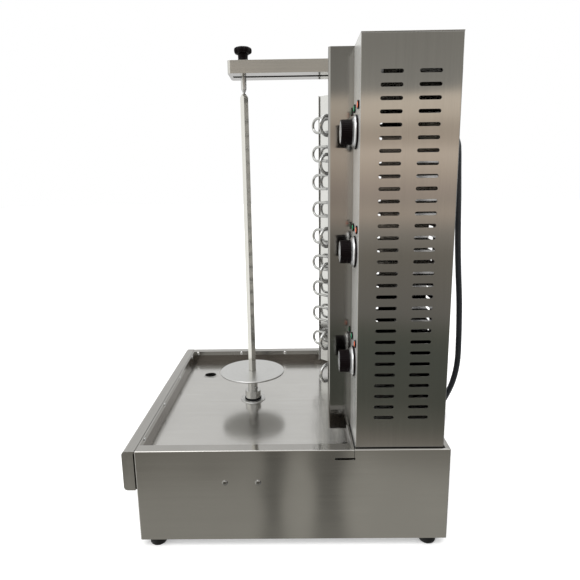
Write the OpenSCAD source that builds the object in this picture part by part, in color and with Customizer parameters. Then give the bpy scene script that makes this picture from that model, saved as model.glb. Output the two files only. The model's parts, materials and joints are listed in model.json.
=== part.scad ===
// Electric vertical rotisserie broiler: a tray base, a slotted column, a heater head and a driven spit.
// Millimetres. Z is up, the origin is on the standing surface under the middle of the machine,
// the heater faces -X over the drip tray, and the dials are on the -Y side.

/* [Base] */
// Length of the base box, front to back
base_len = 640; // [600:5:700]
// Width of the base box
base_wid = 650; // [640:5:700]
// Height of the base box, without the feet
base_h = 202; // [195:1:240]
// Depth of the drip tray below the rim
tray_depth = 30; // [24:1:40]
// Width of the rim along the two sides of the tray
rim_w = 26; // [20:1:40]
// How far the bumper stands out at the front
bumper_out = 26; // [18:1:30]
// Height of the bumper
bumper_h = 87; // [60:1:100]
// Height of the rubber feet
foot_h = 16; // [14:1:20]
// Radius of the grease drain hole in the tray
drain_r = 18; // [14:0.5:22]

/* [Column] */
// Depth of the column, front to back
column_len = 178; // [160:1:190]
// Height of the column's top above the standing surface
column_top_z = 999; // [960:1:1100]
// Gap between the column's side and the base's side
column_inset = 8; // [7:0.5:12]
// Number of slot rows in each side panel
slot_rows = 30; // [10:1:31]
// Length of one cooling slot
slot_len = 40; // [30:1:44]
// Width of one cooling slot
slot_w = 7; // [3:0.5:8]

/* [Heater] */
// Half the width of the heater head
head_half = 218; // [200:1:230]
// How far the head stands in front of the column
head_out = 50; // [44:1:56]
// Height between neighbouring runs of a heating element
run_pitch = 37.5; // [34:0.5:38]
// Diameter of the heating element tube
element_d = 7; // [6:0.5:8]

/* [Spit] */
// Distance of the spit from the column's front
spit_out = 233; // [220:1:245]
// Side of the square spit bar
spit_side = 13; // [10:0.5:14]
// Radius of the meat disc
disc_r = 82.5; // [70:0.5:100]
// Thickness of the meat disc
disc_t = 4; // [2:0.5:5]
// Height of the disc's top above the standing surface
disc_z = 267; // [255:1:290]

/* [Arm and knobs] */
// Width of the top arm
arm_w = 88; // [70:1:100]
// Height of the top arm's sides in front of the column
arm_h = 28; // [24:1:34]
// Radius of the top pin
pin_r = 6.5; // [5:0.5:7]
// Radius of the star knob over its lobes
star_r = 21; // [18:0.5:24]
// Distance between neighbouring dials
dial_pitch = 225; // [215:1:230]
// Radius of a dial's skirt
dial_r = 31.5; // [26:0.5:33]

/* [Cord] */
// Diameter of the power cord
cord_d = 14; // [12:0.5:15]

/* [Hidden] */
$fn = 48;

sheet = 1.5;              // thickness of all the sheet metal
fine = 0.05;              // clearance of a running fit
over = 1;                 // how far a cutter runs past a face

// Base box
x_rear = base_len / 2 + 12;
x_front = x_rear - base_len;
y_side = base_wid / 2;
z_base = foot_h;
z_rim = z_base + base_h;
z_tray = z_rim - tray_depth;
tray_lip_h = 12;
tray_x0 = x_front + 3 * sheet;
tray_y = y_side - rim_w;
bumper_round = 8;
bumper_gap = 2.5;

// Column
x_col1 = x_rear - 13;
x_col0 = x_col1 - column_len;
y_col = y_side - column_inset;
cutout_gap = 3;
tray_x1 = x_col0 - 7;
slot_z0 = 284;
slot_pitch = 22.42;
slot_half_span = 34;
vent_rows = 12;

// Heater head
x_head = x_col0 - head_out;
nose_r = 6;
z_shield = z_rim - 7;
z_head0 = z_rim + 2;
z_head1 = column_top_z - 25;
x_reflector = x_col0 - 8;
wing_run = x_reflector - x_head - 3;
y_back = head_half - 6 - wing_run;

// Heating elements
run_count = 6;
zone_count = 3;
zone_pitch = run_count * run_pitch;
zone_mid_z = 594.5;
run_x = x_reflector - 17;
run_y = y_back - 7;
flare_tip = 40;
elbow_r = 20;
loop_r = run_pitch / 2;
bush_r = 7;

// Spit and its drive
spit_x = x_col0 - spit_out;
spit_top_z = 949;
spit_dip = 4;
spindle_r = 10;
shaft_r = 7;
collar_r = 20.5;
collar_z0 = z_tray + 7.3;
collar_z1 = z_tray + 26;
socket_z = z_tray + 12;
sleeve_r = 12.5;
flange_r = 32;
flange_t = 3;
bearing_r = 16;
housing_r = 22;
beam_half = 55;
beam_z = z_tray - 28;
side_screw_z = z_base + 131;
side_screw_half = 34;

// Arm and top pin
z_arm = column_top_z - 12.5;
arm_x0 = spit_x - 32;
arm_x1 = x_col1 - 19;
arm_t = 3;
arm_slot = 18;            // width of the opening between the lips under the arm
arm_round = 8;
arm_top_z = z_arm + arm_h;
pin_tip_z = spit_top_z - spit_dip + 0.6;
pin_cone_h = 14;
star_z = arm_top_z + 20.5;
star_h = 16;
star_lobes = 7;
neck_r = 12.2;

// Dials and lamps
dial_y = -(y_side - 56);
dial_mid_z = 612;
dial_zs = [dial_mid_z + dial_pitch, dial_mid_z, dial_mid_z - dial_pitch];
dial_gap = 0.5;
dial_depth = 31;
skirt_h = 9;
grip_r = 23;
face_r = grip_r - 2;
spindle_pin_r = 3;
lamp_up = 45;
lamp_half_span = 28;
lamp_r = 8;

// Cord: its route is a list of points along its centre line
cord_r = cord_d / 2;
gland_y = -40;
gland_z = 870;
gland_len = 26;
coil_x = 421;
coil_y = 300;
coil_r = 75;
coil_turns = 2;
floor_z = cord_r + 0.1;
top_turn_z = floor_z + coil_turns * cord_d;
plug_x = 348;
plug_y = 385;
plug_z = 27;
cord_route = [
    [335, -40, 870], [345, -40, 870], [359.8, -40, 868.1], [373.5, -40, 862.4], [385.3, -40, 853.3],
    [394.4, -40, 841.5], [400.1, -40, 827.8], [402, -40, 813], [404.5, -40, 768], [408, -40, 700],
    [410.5, -40, 641], [413.5, -40, 581], [418, -40, 520], [423, -40, 458], [425.5, -40, 407],
    [427, -40, 356], [427, -40, 304], [424.5, -39, 277], [420.5, -37, 253], [415, -32, 228],
    [408.5, -25, 205], [400, -14, 176], [391.5, 2, 141], [384, 22, 108], [377, 48, 77],
    [371, 80, 50], [365.5, 118, 28], [359, 160, 13.5], [353, 200, 8], [348.5, 235, floor_z],
    [346.5, 262, floor_z]
];
tail_route = [
    [346, 338, top_turn_z - 0.5], [346.5, 354, top_turn_z - 3], [347.3, 370, plug_z + 2],
    [plug_x, plug_y, plug_z]
];

steel = [0.74, 0.74, 0.73];
bright = [0.86, 0.86, 0.86];
dark = [0.08, 0.08, 0.09];
zinc = [0.62, 0.63, 0.64];

// ---------- helpers ----------

// A box between two corners
module block(low, high) {
    translate(low) cube(high - low);
}

// A round bar along Z, from z0 to z1
module bar(r, z0, z1, at = [0, 0]) {
    translate([at.x, at.y, z0]) cylinder(r = r, h = z1 - z0);
}

// Lays what is built along +Z so that it points along +X from the given point
module along_x(at) {
    translate(at) rotate([0, 90, 0]) children();
}

// Lays what is built along +Z so that it points along -X from the given point
module along_minus_x(at) {
    translate(at) rotate([0, -90, 0]) children();
}

// Lays what is built along +Z so that it points along +Y (side = 1) or -Y (side = -1)
module along_y(at, side = 1) {
    translate(at) rotate([-90 * side, 0, 0]) children();
}

// A dome-headed screw: the head stands above z = 0 and the shank hangs below it
module screw(head_r, head_h, shank_r, shank_len) {
    difference() {
        union() {
            rotate_extrude() intersection() {
                translate([0, head_h - head_r * 1.6]) circle(r = head_r * 1.6);
                square([head_r, head_h]);
            }
            translate([0, 0, -shank_len]) cylinder(r = shank_r, h = shank_len);
        }
        block([-head_r * 0.6, -0.4, head_h * 0.55], [head_r * 0.6, 0.4, head_h + over]);
        block([-0.4, -head_r * 0.6, head_h * 0.55], [0.4, head_r * 0.6, head_h + over]);
    }
}

// A hexagonal prism with a round bore
module hex_nut(across_r, bore_r, h) {
    difference() {
        cylinder(r = across_r, h = h, $fn = 6);
        translate([0, 0, -over]) cylinder(r = bore_r, h = h + 2 * over);
    }
}

// The outline of one round-ended slot, lying along X
module slot_outline(len, w) {
    square([len - w, w], center = true);
    for (s = [-1, 1]) translate([s * (len - w) / 2, 0]) circle(d = w);
}

// ---------- swept tubes ----------

function unit(v) = v / norm(v);
function tangent(p, i) = unit(p[min(i + 1, len(p) - 1)] - p[max(i - 1, 0)]);
function squared(n, t) = unit(n - (n * t) * t);
// The first normal, turned from point to point so that the tube doesn't twist
function normals(p, n, i = 0) =
    i == len(p) ? [] : let (m = squared(n, tangent(p, i))) concat([m], normals(p, m, i + 1));

module tube(p, r, first_normal, sides = 8) {
    n = normals(p, first_normal);
    rings = len(p);
    points = [
        for (i = [0 : rings - 1], k = [0 : sides - 1])
            let (t = tangent(p, i), a = 360 * k / sides)
            p[i] + r * (cos(a) * n[i] + sin(a) * cross(t, n[i]))
    ];
    walls = [
        for (i = [0 : rings - 2], k = [0 : sides - 1])
            let (a = i * sides + k, b = i * sides + (k + 1) % sides)
            [a, a + sides, b + sides, b]
    ];
    start = [for (k = [0 : sides - 1]) k];
    end = [for (k = [sides - 1 : -1 : 0]) (rings - 1) * sides + k];
    polyhedron(points = points, faces = concat(walls, [start, end]), convexity = 10);
}

// ---------- base ----------

drain_at = [x_front + 76, y_side - 153];
foot_xs = [x_front + 33, x_rear - 36];
foot_y = y_side - 18;
tray_screw_xs = [for (k = [0 : 3]) x_front + 17 + 139 * k];
tray_screw_ys = [for (k = [-1.5 : 1 : 1.5]) 175.5 * k];
tray_screw_z = z_rim - 6;
screw_r = 2.2;

// Places children on the inner side of the tray's lip, pointing into the tray
module at_tray_screws() {
    for (x = tray_screw_xs, s = [-1, 1]) along_y([x, s * tray_y, tray_screw_z], -s) children();
    for (y = tray_screw_ys) along_x([tray_x0, y, tray_screw_z]) children();
}

module at_side_screws() {
    for (x = [-1, 1], s = [-1, 1])
        along_y([spit_x + x * side_screw_half, s * y_side, side_screw_z], s) children();
}

bumper_screw_ys = [-260, -90, 90, 260];
bumper_screw_z = z_rim - bumper_h + 7;

module at_bumper_screws() {
    for (y = bumper_screw_ys) along_x([x_front + sheet, y, bumper_screw_z]) children();
}

module base_shell() {
    seam_x = x_col0 - 3;
    color(steel) difference() {
        block([x_front, -y_side, z_base], [x_rear, y_side, z_rim]);
        // The hollow under the top, open at the bottom
        block([x_front + sheet, -y_side + sheet, z_base - over],
              [x_rear - sheet, y_side - sheet, z_rim - tray_lip_h]);
        block([x_front + sheet, -y_side + sheet, z_base],
              [tray_x0 - sheet, y_side - sheet, z_rim - sheet]);
        for (s = [-1, 1]) {
            block([tray_x0 - 2 * sheet, min(s * (tray_y + sheet), s * (y_side - sheet)), z_base],
                  [x_rear - sheet, max(s * (tray_y + sheet), s * (y_side - sheet)), z_rim - sheet]);
        }
        block([tray_x1 + sheet, -y_side + sheet, z_base],
              [x_rear - sheet, y_side - sheet, z_rim - sheet]);
        // The tray's opening and the column's opening
        block([tray_x0, -tray_y, z_base], [tray_x1, tray_y, z_rim + over]);
        block([x_col0 - cutout_gap, -y_col - cutout_gap, z_base],
              [x_col1 + cutout_gap, y_col + cutout_gap, z_rim + over]);
        // The seam and the relief slot beside the column's front
        for (s = [-1, 1]) {
            translate([seam_x, s * y_side, z_rim - 10]) cube([0.8, 4 * sheet, 22], center = true);
            block([seam_x - 39, s * y_side - 2 * sheet, z_rim - 22],
                  [seam_x + 2, s * y_side + 2 * sheet, z_rim - 17.5]);
        }
        at_tray_screws() cylinder(r = screw_r + fine, h = 8, center = true);
        at_side_screws() cylinder(r = 4 + fine, h = 8, center = true);
        at_bumper_screws() cylinder(r = screw_r + fine, h = 8, center = true);
    }
}

module base_floor() {
    color(zinc) difference() {
        block([x_front + sheet, -y_side + sheet, z_base],
              [x_rear - sheet, y_side - sheet, z_base + sheet]);
        for (x = foot_xs, s = [-1, 1])
            bar(3 + fine, z_base - over, z_base + 3 * sheet, [x, s * foot_y]);
        bar(drain_r + 0.5, z_base - over, z_base + 3 * sheet, drain_at);
    }
}

// Section of the bumper: flat at the back, round at the two front corners
module bumper_section(inset) {
    w = bumper_out - inset;
    h = bumper_h - 2 * inset;
    r = bumper_round - inset;
    translate([-bumper_out + inset, inset]) {
        translate([r, 0]) square([w - r, h]);
        translate([0, r]) square([w, h - 2 * r]);
        for (z = [r, h - r]) translate([r, z]) circle(r = r);
    }
}

module front_bumper() {
    z0 = z_rim - bumper_h;
    lip = 14;
    color(steel) difference() {
        translate([x_front, y_side, z0]) rotate([90, 0, 0])
            linear_extrude(base_wid) bumper_section(0);
        translate([x_front, y_side - sheet, z0]) rotate([90, 0, 0])
            linear_extrude(base_wid - 2 * sheet) intersection() {
                bumper_section(sheet);
                translate([-bumper_out, 0]) square([bumper_out - sheet, bumper_h]);
            }
        // The open back between the two lips
        block([x_front - 2 * sheet, -y_side + lip, z0 + lip],
              [x_front + over, y_side - lip, z_rim - lip]);
        // The shadow gap at both ends
        for (s = [-1, 1])
            translate([x_front - bumper_gap / 2 + over / 2, s * y_side, z0 + bumper_h / 2 - 4])
                cube([bumper_gap + over, 8, bumper_h], center = true);
        at_bumper_screws() cylinder(r = screw_r + fine, h = 12, center = true);
    }
}

module bumper_screws() {
    color(zinc) at_bumper_screws() screw(4.5, 2.5, screw_r, 5);
}

tray_outer_y = tray_y + 2 * sheet;

module tray_floor() {
    color(bright) difference() {
        block([tray_x0 - 2 * sheet, -tray_outer_y, z_tray - sheet],
              [tray_x1 + 2 * sheet, tray_outer_y, z_tray]);
        bar(drain_r, z_tray - 5, z_tray + 5, drain_at);
        bar(housing_r, z_tray - 5, z_tray + 5, [spit_x, 0]);
    }
}

// The upright edge of the tray, behind the lip of the base
module tray_walls() {
    color(bright) difference() {
        block([tray_x0 - 2 * sheet, -tray_outer_y, z_tray],
              [tray_x1 + 2 * sheet, tray_outer_y, z_rim - sheet]);
        block([tray_x0 - sheet, -tray_outer_y + sheet, z_tray - over],
              [tray_x1 + sheet, tray_outer_y - sheet, z_rim]);
        at_tray_screws() cylinder(r = screw_r + fine, h = 12, center = true);
    }
}

module tray_screws() {
    color(bright) at_tray_screws() screw(4.5, 2, screw_r, 2 * sheet);
}

module side_screws() {
    color(bright) at_side_screws() screw(5.5, 2.5, 4, 2 * sheet);
}

module drain_spout() {
    wall = 1.5;
    color(bright) difference() {
        union() {
            bar(drain_r + 2.5, z_tray, z_tray + 0.8, drain_at);
            bar(drain_r - fine, z_base, z_tray, drain_at);
        }
        bar(drain_r - wall, z_base - over, z_tray + 2, drain_at);
    }
}

module foot() {
    hole_z = 5;
    difference() {
        rotate_extrude() difference() {
            polygon([[0, 0], [14.6, 0], [16.6, 2], [17.4, 6], [17.5, foot_h], [0, foot_h]]);
            translate([0, -over]) square([7, hole_z + over]);
        }
        bar(3 + fine, 0, foot_h + over);
    }
}

module feet() {
    color(dark) for (x = foot_xs, s = [-1, 1]) translate([x, s * foot_y, 0]) foot();
}

// Each screw comes up through its foot into a nut on the base floor
module foot_screws() {
    head_z = 5;
    color(zinc) for (x = foot_xs, s = [-1, 1]) translate([x, s * foot_y, 0]) {
        bar(6, head_z - 3, head_z);
        bar(3, head_z, z_base + sheet + 7);
        translate([0, 0, z_base + sheet]) cylinder(r = 6, h = 5, $fn = 6);
    }
}

// ---------- drive ----------

module motor_beam() {
    tab_h = 30;
    inner_y = y_side - sheet;
    color(zinc) difference() {
        union() {
            block([spit_x - beam_half, -inner_y, beam_z - 2], [spit_x + beam_half, inner_y, beam_z]);
            for (s = [-1, 1]) {
                block([spit_x - beam_half, min(s * inner_y, s * (inner_y - 2)), beam_z - tab_h],
                      [spit_x + beam_half, max(s * inner_y, s * (inner_y - 2)), beam_z]);
                block([spit_x + s * beam_half - 1 - s, -inner_y + 2, beam_z - tab_h],
                      [spit_x + s * beam_half + 1 - s, inner_y - 2, beam_z]);
            }
        }
        bar(shaft_r + 6, beam_z - 5, beam_z + 5, [spit_x, 0]);
        at_side_screws() cylinder(r = 4 + fine, h = 12, center = true);
    }
}

module gearbox() {
    color(zinc) difference() {
        union() {
            block([spit_x - 38, -36, beam_z - 50], [spit_x + 44, 36, beam_z - 2]);
            bar(shaft_r + 5, beam_z - 2, beam_z + 1, [spit_x, 0]);
        }
        bar(shaft_r + fine, beam_z - 31, beam_z + 2, [spit_x, 0]);
    }
}

module motor_can() {
    color([0.3, 0.31, 0.33]) {
        bar(31, beam_z - 104, beam_z - 50, [spit_x + 6, 0]);
        for (k = [0 : 5])
            bar(33, beam_z - 100 + 8 * k, beam_z - 97 + 8 * k, [spit_x + 6, 0]);
    }
}

module hub_flange() {
    neck_z = beam_z + 2;
    color(bright) difference() {
        union() {
            translate([spit_x, 0, z_tray]) rotate_extrude()
                polygon([[0, 0], [flange_r, 0], [flange_r - 1, flange_t - 1],
                         [flange_r - 3, flange_t], [0, flange_t]]);
            bar(housing_r - fine, neck_z, z_tray, [spit_x, 0]);
        }
        bar(bearing_r, neck_z - over, z_tray - 2, [spit_x, 0]);
        bar(spindle_r + 1, z_tray - 3, z_tray + 5, [spit_x, 0]);
    }
}

module hub_bearing() {
    color(zinc) difference() {
        bar(bearing_r, z_tray - 14, z_tray - 2, [spit_x, 0]);
        bar(spindle_r + fine, z_tray - 15, z_tray, [spit_x, 0]);
    }
}

module hub_seal() {
    color(dark) difference() {
        bar(collar_r + 1, z_tray + flange_t, collar_z0 - 0.3, [spit_x, 0]);
        bar(spindle_r + 1, z_tray, collar_z0 + 1, [spit_x, 0]);
    }
}

// The spindle turns in the bearing and the gearbox, and its collar takes the spit's square end
module drive_spindle() {
    color(bright) difference() {
        union() {
            bar(shaft_r, beam_z - 30, beam_z + 4, [spit_x, 0]);
            bar(spindle_r, beam_z + 4, collar_z0, [spit_x, 0]);
            bar(collar_r, collar_z0, collar_z1, [spit_x, 0]);
        }
        translate([spit_x, 0, socket_z]) rotate([0, 0, 45]) translate([0, 0, 10])
            cube([spit_side, spit_side, 20 + 2 * over], center = true);
    }
}

module disc_sleeve() {
    color(bright) difference() {
        bar(sleeve_r, collar_z1, disc_z - disc_t, [spit_x, 0]);
        translate([spit_x, 0, (collar_z1 + disc_z) / 2]) rotate([0, 0, 45])
            cube([spit_side, spit_side, disc_z - collar_z1 + 10], center = true);
        translate([spit_x, 0, collar_z1 + 8]) rotate([0, 0, -45]) along_x([0, 0, 0])
            cylinder(r = 2.5, h = sleeve_r + over);
    }
}

module sleeve_screw() {
    flat = spit_side / 2;
    color(zinc) translate([spit_x, 0, collar_z1 + 8]) rotate([0, 0, -45]) along_x([flat, 0, 0]) {
        cylinder(r = 2.5, h = sleeve_r - flat);
        translate([0, 0, sleeve_r - flat]) cylinder(r = 4, h = 3);
    }
}

module spit_disc() {
    hole = spit_side + 1;
    color(bright) difference() {
        translate([spit_x, 0, disc_z - disc_t]) rotate_extrude()
            polygon([[0, 0], [disc_r - 1, 0], [disc_r, 1], [disc_r, disc_t - 1],
                     [disc_r - 1, disc_t], [0, disc_t]]);
        translate([spit_x, 0, disc_z]) rotate([0, 0, 45])
            cube([hole, hole, 4 * disc_t], center = true);
    }
}

// A square bar, one corner towards each side, with a coned top and a centre for the pin
module spit_bar() {
    cone_h = 14;
    color(bright) translate([spit_x, 0, 0]) difference() {
        intersection() {
            translate([0, 0, (spit_top_z + socket_z) / 2]) rotate([0, 0, 45])
                cube([spit_side, spit_side, spit_top_z - socket_z], center = true);
            union() {
                bar(spit_side, socket_z - over, spit_top_z - cone_h);
                translate([0, 0, spit_top_z - cone_h])
                    cylinder(r1 = spit_side, r2 = spit_dip + 0.6, h = cone_h);
            }
        }
        translate([0, 0, spit_top_z - spit_dip])
            cylinder(r1 = 0, r2 = spit_dip + over, h = spit_dip + over);
    }
}

// ---------- column ----------

z_col0 = z_base + sheet;
back_screw_zs = [260, 500, 740, 975];
back_screw_y = y_col - 12;
panel_hole = 5;

module side_slots() {
    mid_x = (x_col0 + x_col1) / 2;
    for (row = [0 : slot_rows - 1], s = [-1, 1])
        translate([mid_x + s * slot_half_span, slot_z0 + row * slot_pitch])
            slot_outline(slot_len, slot_w);
}

module side_panel(side) {
    y0 = side > 0 ? y_col : -y_col + sheet;
    color(steel) translate([0, y0, 0]) rotate([90, 0, 0]) linear_extrude(sheet) difference() {
        translate([x_col0, z_col0]) square([column_len, column_top_z - sheet - z_col0]);
        side_slots();
    }
}

module column_near_panel() side_panel(-1);
module column_far_panel() side_panel(1);

module at_back_screws() {
    for (z = back_screw_zs, s = [-1, 1]) along_x([x_col1, s * back_screw_y, z]) children();
}

module column_back_panel() {
    vent_y = 150;
    color(steel) difference() {
        block([x_col1 - sheet, -y_col + sheet, z_col0], [x_col1, y_col - sheet, column_top_z - sheet]);
        for (row = [0 : vent_rows - 1], s = [-1, 1])
            along_x([x_col1 - 2 * sheet, s * vent_y, 400 + row * slot_pitch])
                linear_extrude(4 * sheet) rotate([0, 0, 90]) slot_outline(slot_len, slot_w);
        along_x([x_col1 - 2 * sheet, gland_y, gland_z]) cylinder(r = 11 + fine, h = 4 * sheet);
        at_back_screws() cylinder(r = screw_r + fine, h = 8, center = true);
    }
}

module back_screws() {
    color(zinc) at_back_screws() screw(4.5, 2.5, screw_r, 6);
}

module column_front_panel() {
    color(steel) difference() {
        block([x_col0, -head_half + sheet, z_col0],
              [x_col0 + sheet, y_col - sheet, column_top_z - sheet]);
        // Wiring hole behind the heater's near wing
        for (z = [300 : 150 : 900])
            along_x([x_col0 - over, -head_half + 18, z]) cylinder(r = 10, h = 4 * sheet);
    }
}

module control_panel() {
    color(bright) difference() {
        block([x_col0, -y_col + sheet, z_col0],
              [x_col0 + sheet, -head_half + sheet, column_top_z - sheet]);
        for (z = dial_zs) {
            along_x([x_col0 - over, dial_y, z]) cylinder(r = panel_hole + fine, h = 4 * sheet);
            for (s = [-1, 1])
                along_x([x_col0 - over, dial_y + s * lamp_half_span, z + lamp_up])
                    cylinder(r = lamp_r - 2 + fine, h = 4 * sheet);
        }
    }
}

bolt_xs = [x_col0 + 30, x_col1 - 45];
bolt_y = 30;

module at_arm_bolts() {
    for (x = bolt_xs, s = [-1, 1]) translate([x, s * bolt_y, arm_top_z]) children();
}

module column_top() {
    color(steel) difference() {
        block([x_col0, -y_col, column_top_z - sheet], [x_col1, y_col, column_top_z]);
        at_arm_bolts() cylinder(r = 4 + fine, h = 60, center = true);
    }
}

// ---------- heater head ----------

// Plan of a side plate of the head: a flat with a rounded nose and a short return
module side_plate_plan() {
    return_len = 3;
    translate([x_head + nose_r, head_half - sheet]) square([x_col0 - x_head - nose_r, sheet]);
    translate([x_head + nose_r, head_half - nose_r]) intersection() {
        difference() {
            circle(r = nose_r);
            circle(r = nose_r - sheet);
        }
        translate([-nose_r, 0]) square(nose_r);
    }
    translate([x_head, head_half - nose_r - return_len]) square([sheet, return_len]);
}

// The plate stands inside the rim, and is cut away over the rear edge of the tray's opening
module control_shield() {
    color(steel) difference() {
        translate([0, 0, z_shield]) mirror([0, 1, 0])
            linear_extrude(column_top_z - z_shield) side_plate_plan();
        block([tray_x1 - 2, -head_half - over, z_shield - over],
              [x_col0 + over, -head_half + 2 * sheet, z_rim + 0.3]);
    }
}

// The far side plate with the top and bottom plates that close the space behind the reflector
module heater_casing() {
    color(steel) {
        translate([0, 0, z_head0]) linear_extrude(z_head1 - z_head0) side_plate_plan();
        for (z = [z_head0, z_head1 - sheet]) translate([0, 0, z]) linear_extrude(sheet)
            polygon([
                [x_reflector + sheet, -y_back], [x_col0, -y_back - 8], [x_col0, head_half - sheet],
                [x_head + nose_r, head_half - sheet], [x_reflector + sheet, y_back + 1]
            ]);
    }
}

// Back panel with two wings that open at 45 degrees, and a sloped flap along the top
module reflector() {
    wing_t = sheet * sqrt(2);
    z0 = z_head0 + sheet;
    z1 = z_head1 - sheet;
    flap = 10;
    color(bright) difference() {
        union() {
            translate([0, 0, z0]) linear_extrude(z1 - z0) {
                translate([x_reflector, -y_back]) square([sheet, 2 * y_back]);
                for (s = [-1, 1]) polygon([
                    [x_reflector, s * y_back], [x_reflector + sheet, s * y_back],
                    [x_reflector + sheet, s * (y_back - sheet + wing_t)],
                    [x_reflector - wing_run, s * (y_back + wing_run + wing_t)],
                    [x_reflector - wing_run, s * (y_back + wing_run)]
                ]);
            }
            translate([0, y_back - 1, 0]) rotate([90, 0, 0]) linear_extrude(2 * y_back - 2)
                polygon([
                    [x_reflector, z1 - flap - wing_t], [x_reflector, z1 - flap],
                    [x_reflector - flap, z1], [x_reflector - flap - wing_t, z1]
                ]);
        }
        at_bushes() cylinder(r = element_d / 2 + 1.5, h = 30, center = true);
    }
}

module insulation() {
    color([0.85, 0.83, 0.75])
        block([x_reflector + sheet, -y_back + 4, z_head0 + 2 * sheet],
              [x_col0, y_back - 4, z_head1 - 2 * sheet]);
}

zone_zs = [for (k = [1 : -1 : -1]) zone_mid_z + k * zone_pitch];

// A point on the flare at the near (side = -1) or far (side = 1) end, u along it from the elbow
function flare(side, u, z) = [run_x - u * sqrt(0.5), side * (run_y + u * sqrt(0.5)), z];
flare_len = flare_tip * sqrt(2);
elbow_cut = elbow_r * tan(22.5);

// The rounded elbow between a run and its flare, from the run outwards
function elbow(side, z) = [
    for (a = [0 : 15 : 45])
        [run_x - elbow_r * (1 - cos(a)), side * (run_y - elbow_cut + elbow_r * sin(a)), z]
];
// The half turn at a flare's end, from the upper run to the lower one
function half_turn(side, z_mid) = [
    for (a = [90 : -30 : -90])
        flare(side, flare_len - loop_r + loop_r * cos(a), z_mid + loop_r * sin(a))
];
function backwards(p) = [for (i = [len(p) - 1 : -1 : 0]) p[i]];
// Where a terminal leaves the near flare, and its quarter turn towards the wing
term_u = 26;
term_r = 9;
wing_out = [sqrt(0.5), -sqrt(0.5), 0];
function terminal(z) = concat(
    [for (a = [0 : 30 : 90]) flare(-1, term_u + term_r * sin(a), z) + term_r * (1 - cos(a)) * wing_out],
    [flare(-1, term_u + term_r, z) + 27 * wing_out]
);

// Six runs in one line: three half turns at the far end, two at the near end, both terminals near
function element_path(z_mid) = let (z = [for (k = [0 : 5]) z_mid + (2.5 - k) * run_pitch]) concat(
    backwards(terminal(z[0])), backwards(elbow(-1, z[0])),
    elbow(1, z[0]), half_turn(1, (z[0] + z[1]) / 2), backwards(elbow(1, z[1])),
    elbow(-1, z[1]), half_turn(-1, (z[1] + z[2]) / 2), backwards(elbow(-1, z[2])),
    elbow(1, z[2]), half_turn(1, (z[2] + z[3]) / 2), backwards(elbow(1, z[3])),
    elbow(-1, z[3]), half_turn(-1, (z[3] + z[4]) / 2), backwards(elbow(-1, z[4])),
    elbow(1, z[4]), half_turn(1, (z[4] + z[5]) / 2), backwards(elbow(1, z[5])),
    elbow(-1, z[5]), terminal(z[5])
);

module element(z_mid) {
    color(bright) tube(element_path(z_mid), element_d / 2, [0, 0, 1]);
}

module element_top() element(zone_zs[0]);
module element_middle() element(zone_zs[1]);
module element_bottom() element(zone_zs[2]);

// Places children on the near wing at each terminal, with Z pointing out of the back of the wing
module at_bushes() {
    to_wing = (x_reflector - run_x + y_back - run_y) * sqrt(0.5) - 0.02;
    for (z_mid = zone_zs, s = [-1, 1])
        translate(flare(-1, term_u + term_r, z_mid + s * 2.5 * run_pitch) + to_wing * wing_out)
            rotate([0, 90, -45]) children();
}

module element_bushes() {
    flat_t = 5;
    color(zinc) at_bushes() difference() {
        translate([0, 0, -flat_t]) cylinder(r = bush_r, h = flat_t, $fn = 6);
        cylinder(r = element_d / 2 + 0.3, h = 40, center = true);
    }
}

// Two upright strips on stand-offs, with a pair of ears for each run
module element_clips() {
    strip_x = run_x + element_d / 2 + 1;
    ear = element_d / 2 + 0.3;
    z0 = zone_zs[2] - 2.5 * run_pitch - 15;
    z1 = zone_zs[0] + 2.5 * run_pitch + 15;
    color(zinc) for (s = [-1, 1]) translate([0, s * 118, 0]) {
        block([strip_x, -6, z0], [strip_x + sheet, 6, z1]);
        for (z = [z0 + 8, (z0 + z1) / 2, z1 - 8])
            block([strip_x + sheet, -5, z - 5], [x_reflector, 5, z + 5]);
        for (z_mid = zone_zs, k = [0 : 5], e = [-1, 1]) {
            z = z_mid + (2.5 - k) * run_pitch + e * (ear + sheet / 2);
            block([run_x - 2, -4, z - sheet / 2], [strip_x, 4, z + sheet / 2]);
        }
    }
}

// ---------- arm and top pin ----------

// Plan of the arm, drawn in from its outer face: its free end has two round corners
module arm_plan(inset) {
    half = arm_w / 2 - inset;
    r = arm_round - inset;
    x0 = arm_x0 + inset;
    translate([x0 + r, -half]) square([arm_x1 - inset - x0 - r, 2 * half]);
    translate([x0, -half + r]) square([r, 2 * (half - r)]);
    for (s = [-1, 1]) translate([x0 + r, s * (half - r)]) circle(r = r);
}

// A folded channel with two lips under it. Its sides are cut away where it lies on the column
module top_arm() {
    half = arm_w / 2;
    color(steel) difference() {
        translate([0, 0, z_arm]) linear_extrude(arm_h) arm_plan(0);
        translate([0, 0, z_arm + arm_t]) linear_extrude(arm_h - 2 * arm_t) arm_plan(arm_t);
        block([arm_x0 + arm_round, -arm_slot / 2, z_arm - over],
              [x_col0 + over, arm_slot / 2, z_arm + arm_t + over]);
        block([x_col0, -half - over, z_arm - over], [arm_x1 + over, half + over, column_top_z]);
        bar(pin_r + 2, arm_top_z - 2 * arm_t, arm_top_z + over, [spit_x, 0]);
        at_arm_bolts() cylinder(r = 4 + fine, h = 20, center = true);
    }
}

module arm_bolts() {
    spacer_h = arm_top_z - arm_t - column_top_z;
    color(zinc) at_arm_bolts() {
        cylinder(r = 7.5, h = 5, $fn = 6);
        translate([0, 0, -35]) cylinder(r = 4, h = 35);
        translate([0, 0, -arm_t - spacer_h]) cylinder(r = 8, h = spacer_h);
    }
}

module arm_nut() {
    color(zinc) translate([spit_x, 0, arm_top_z - arm_t - 11]) hex_nut(13, pin_r + fine, 11);
}

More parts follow.
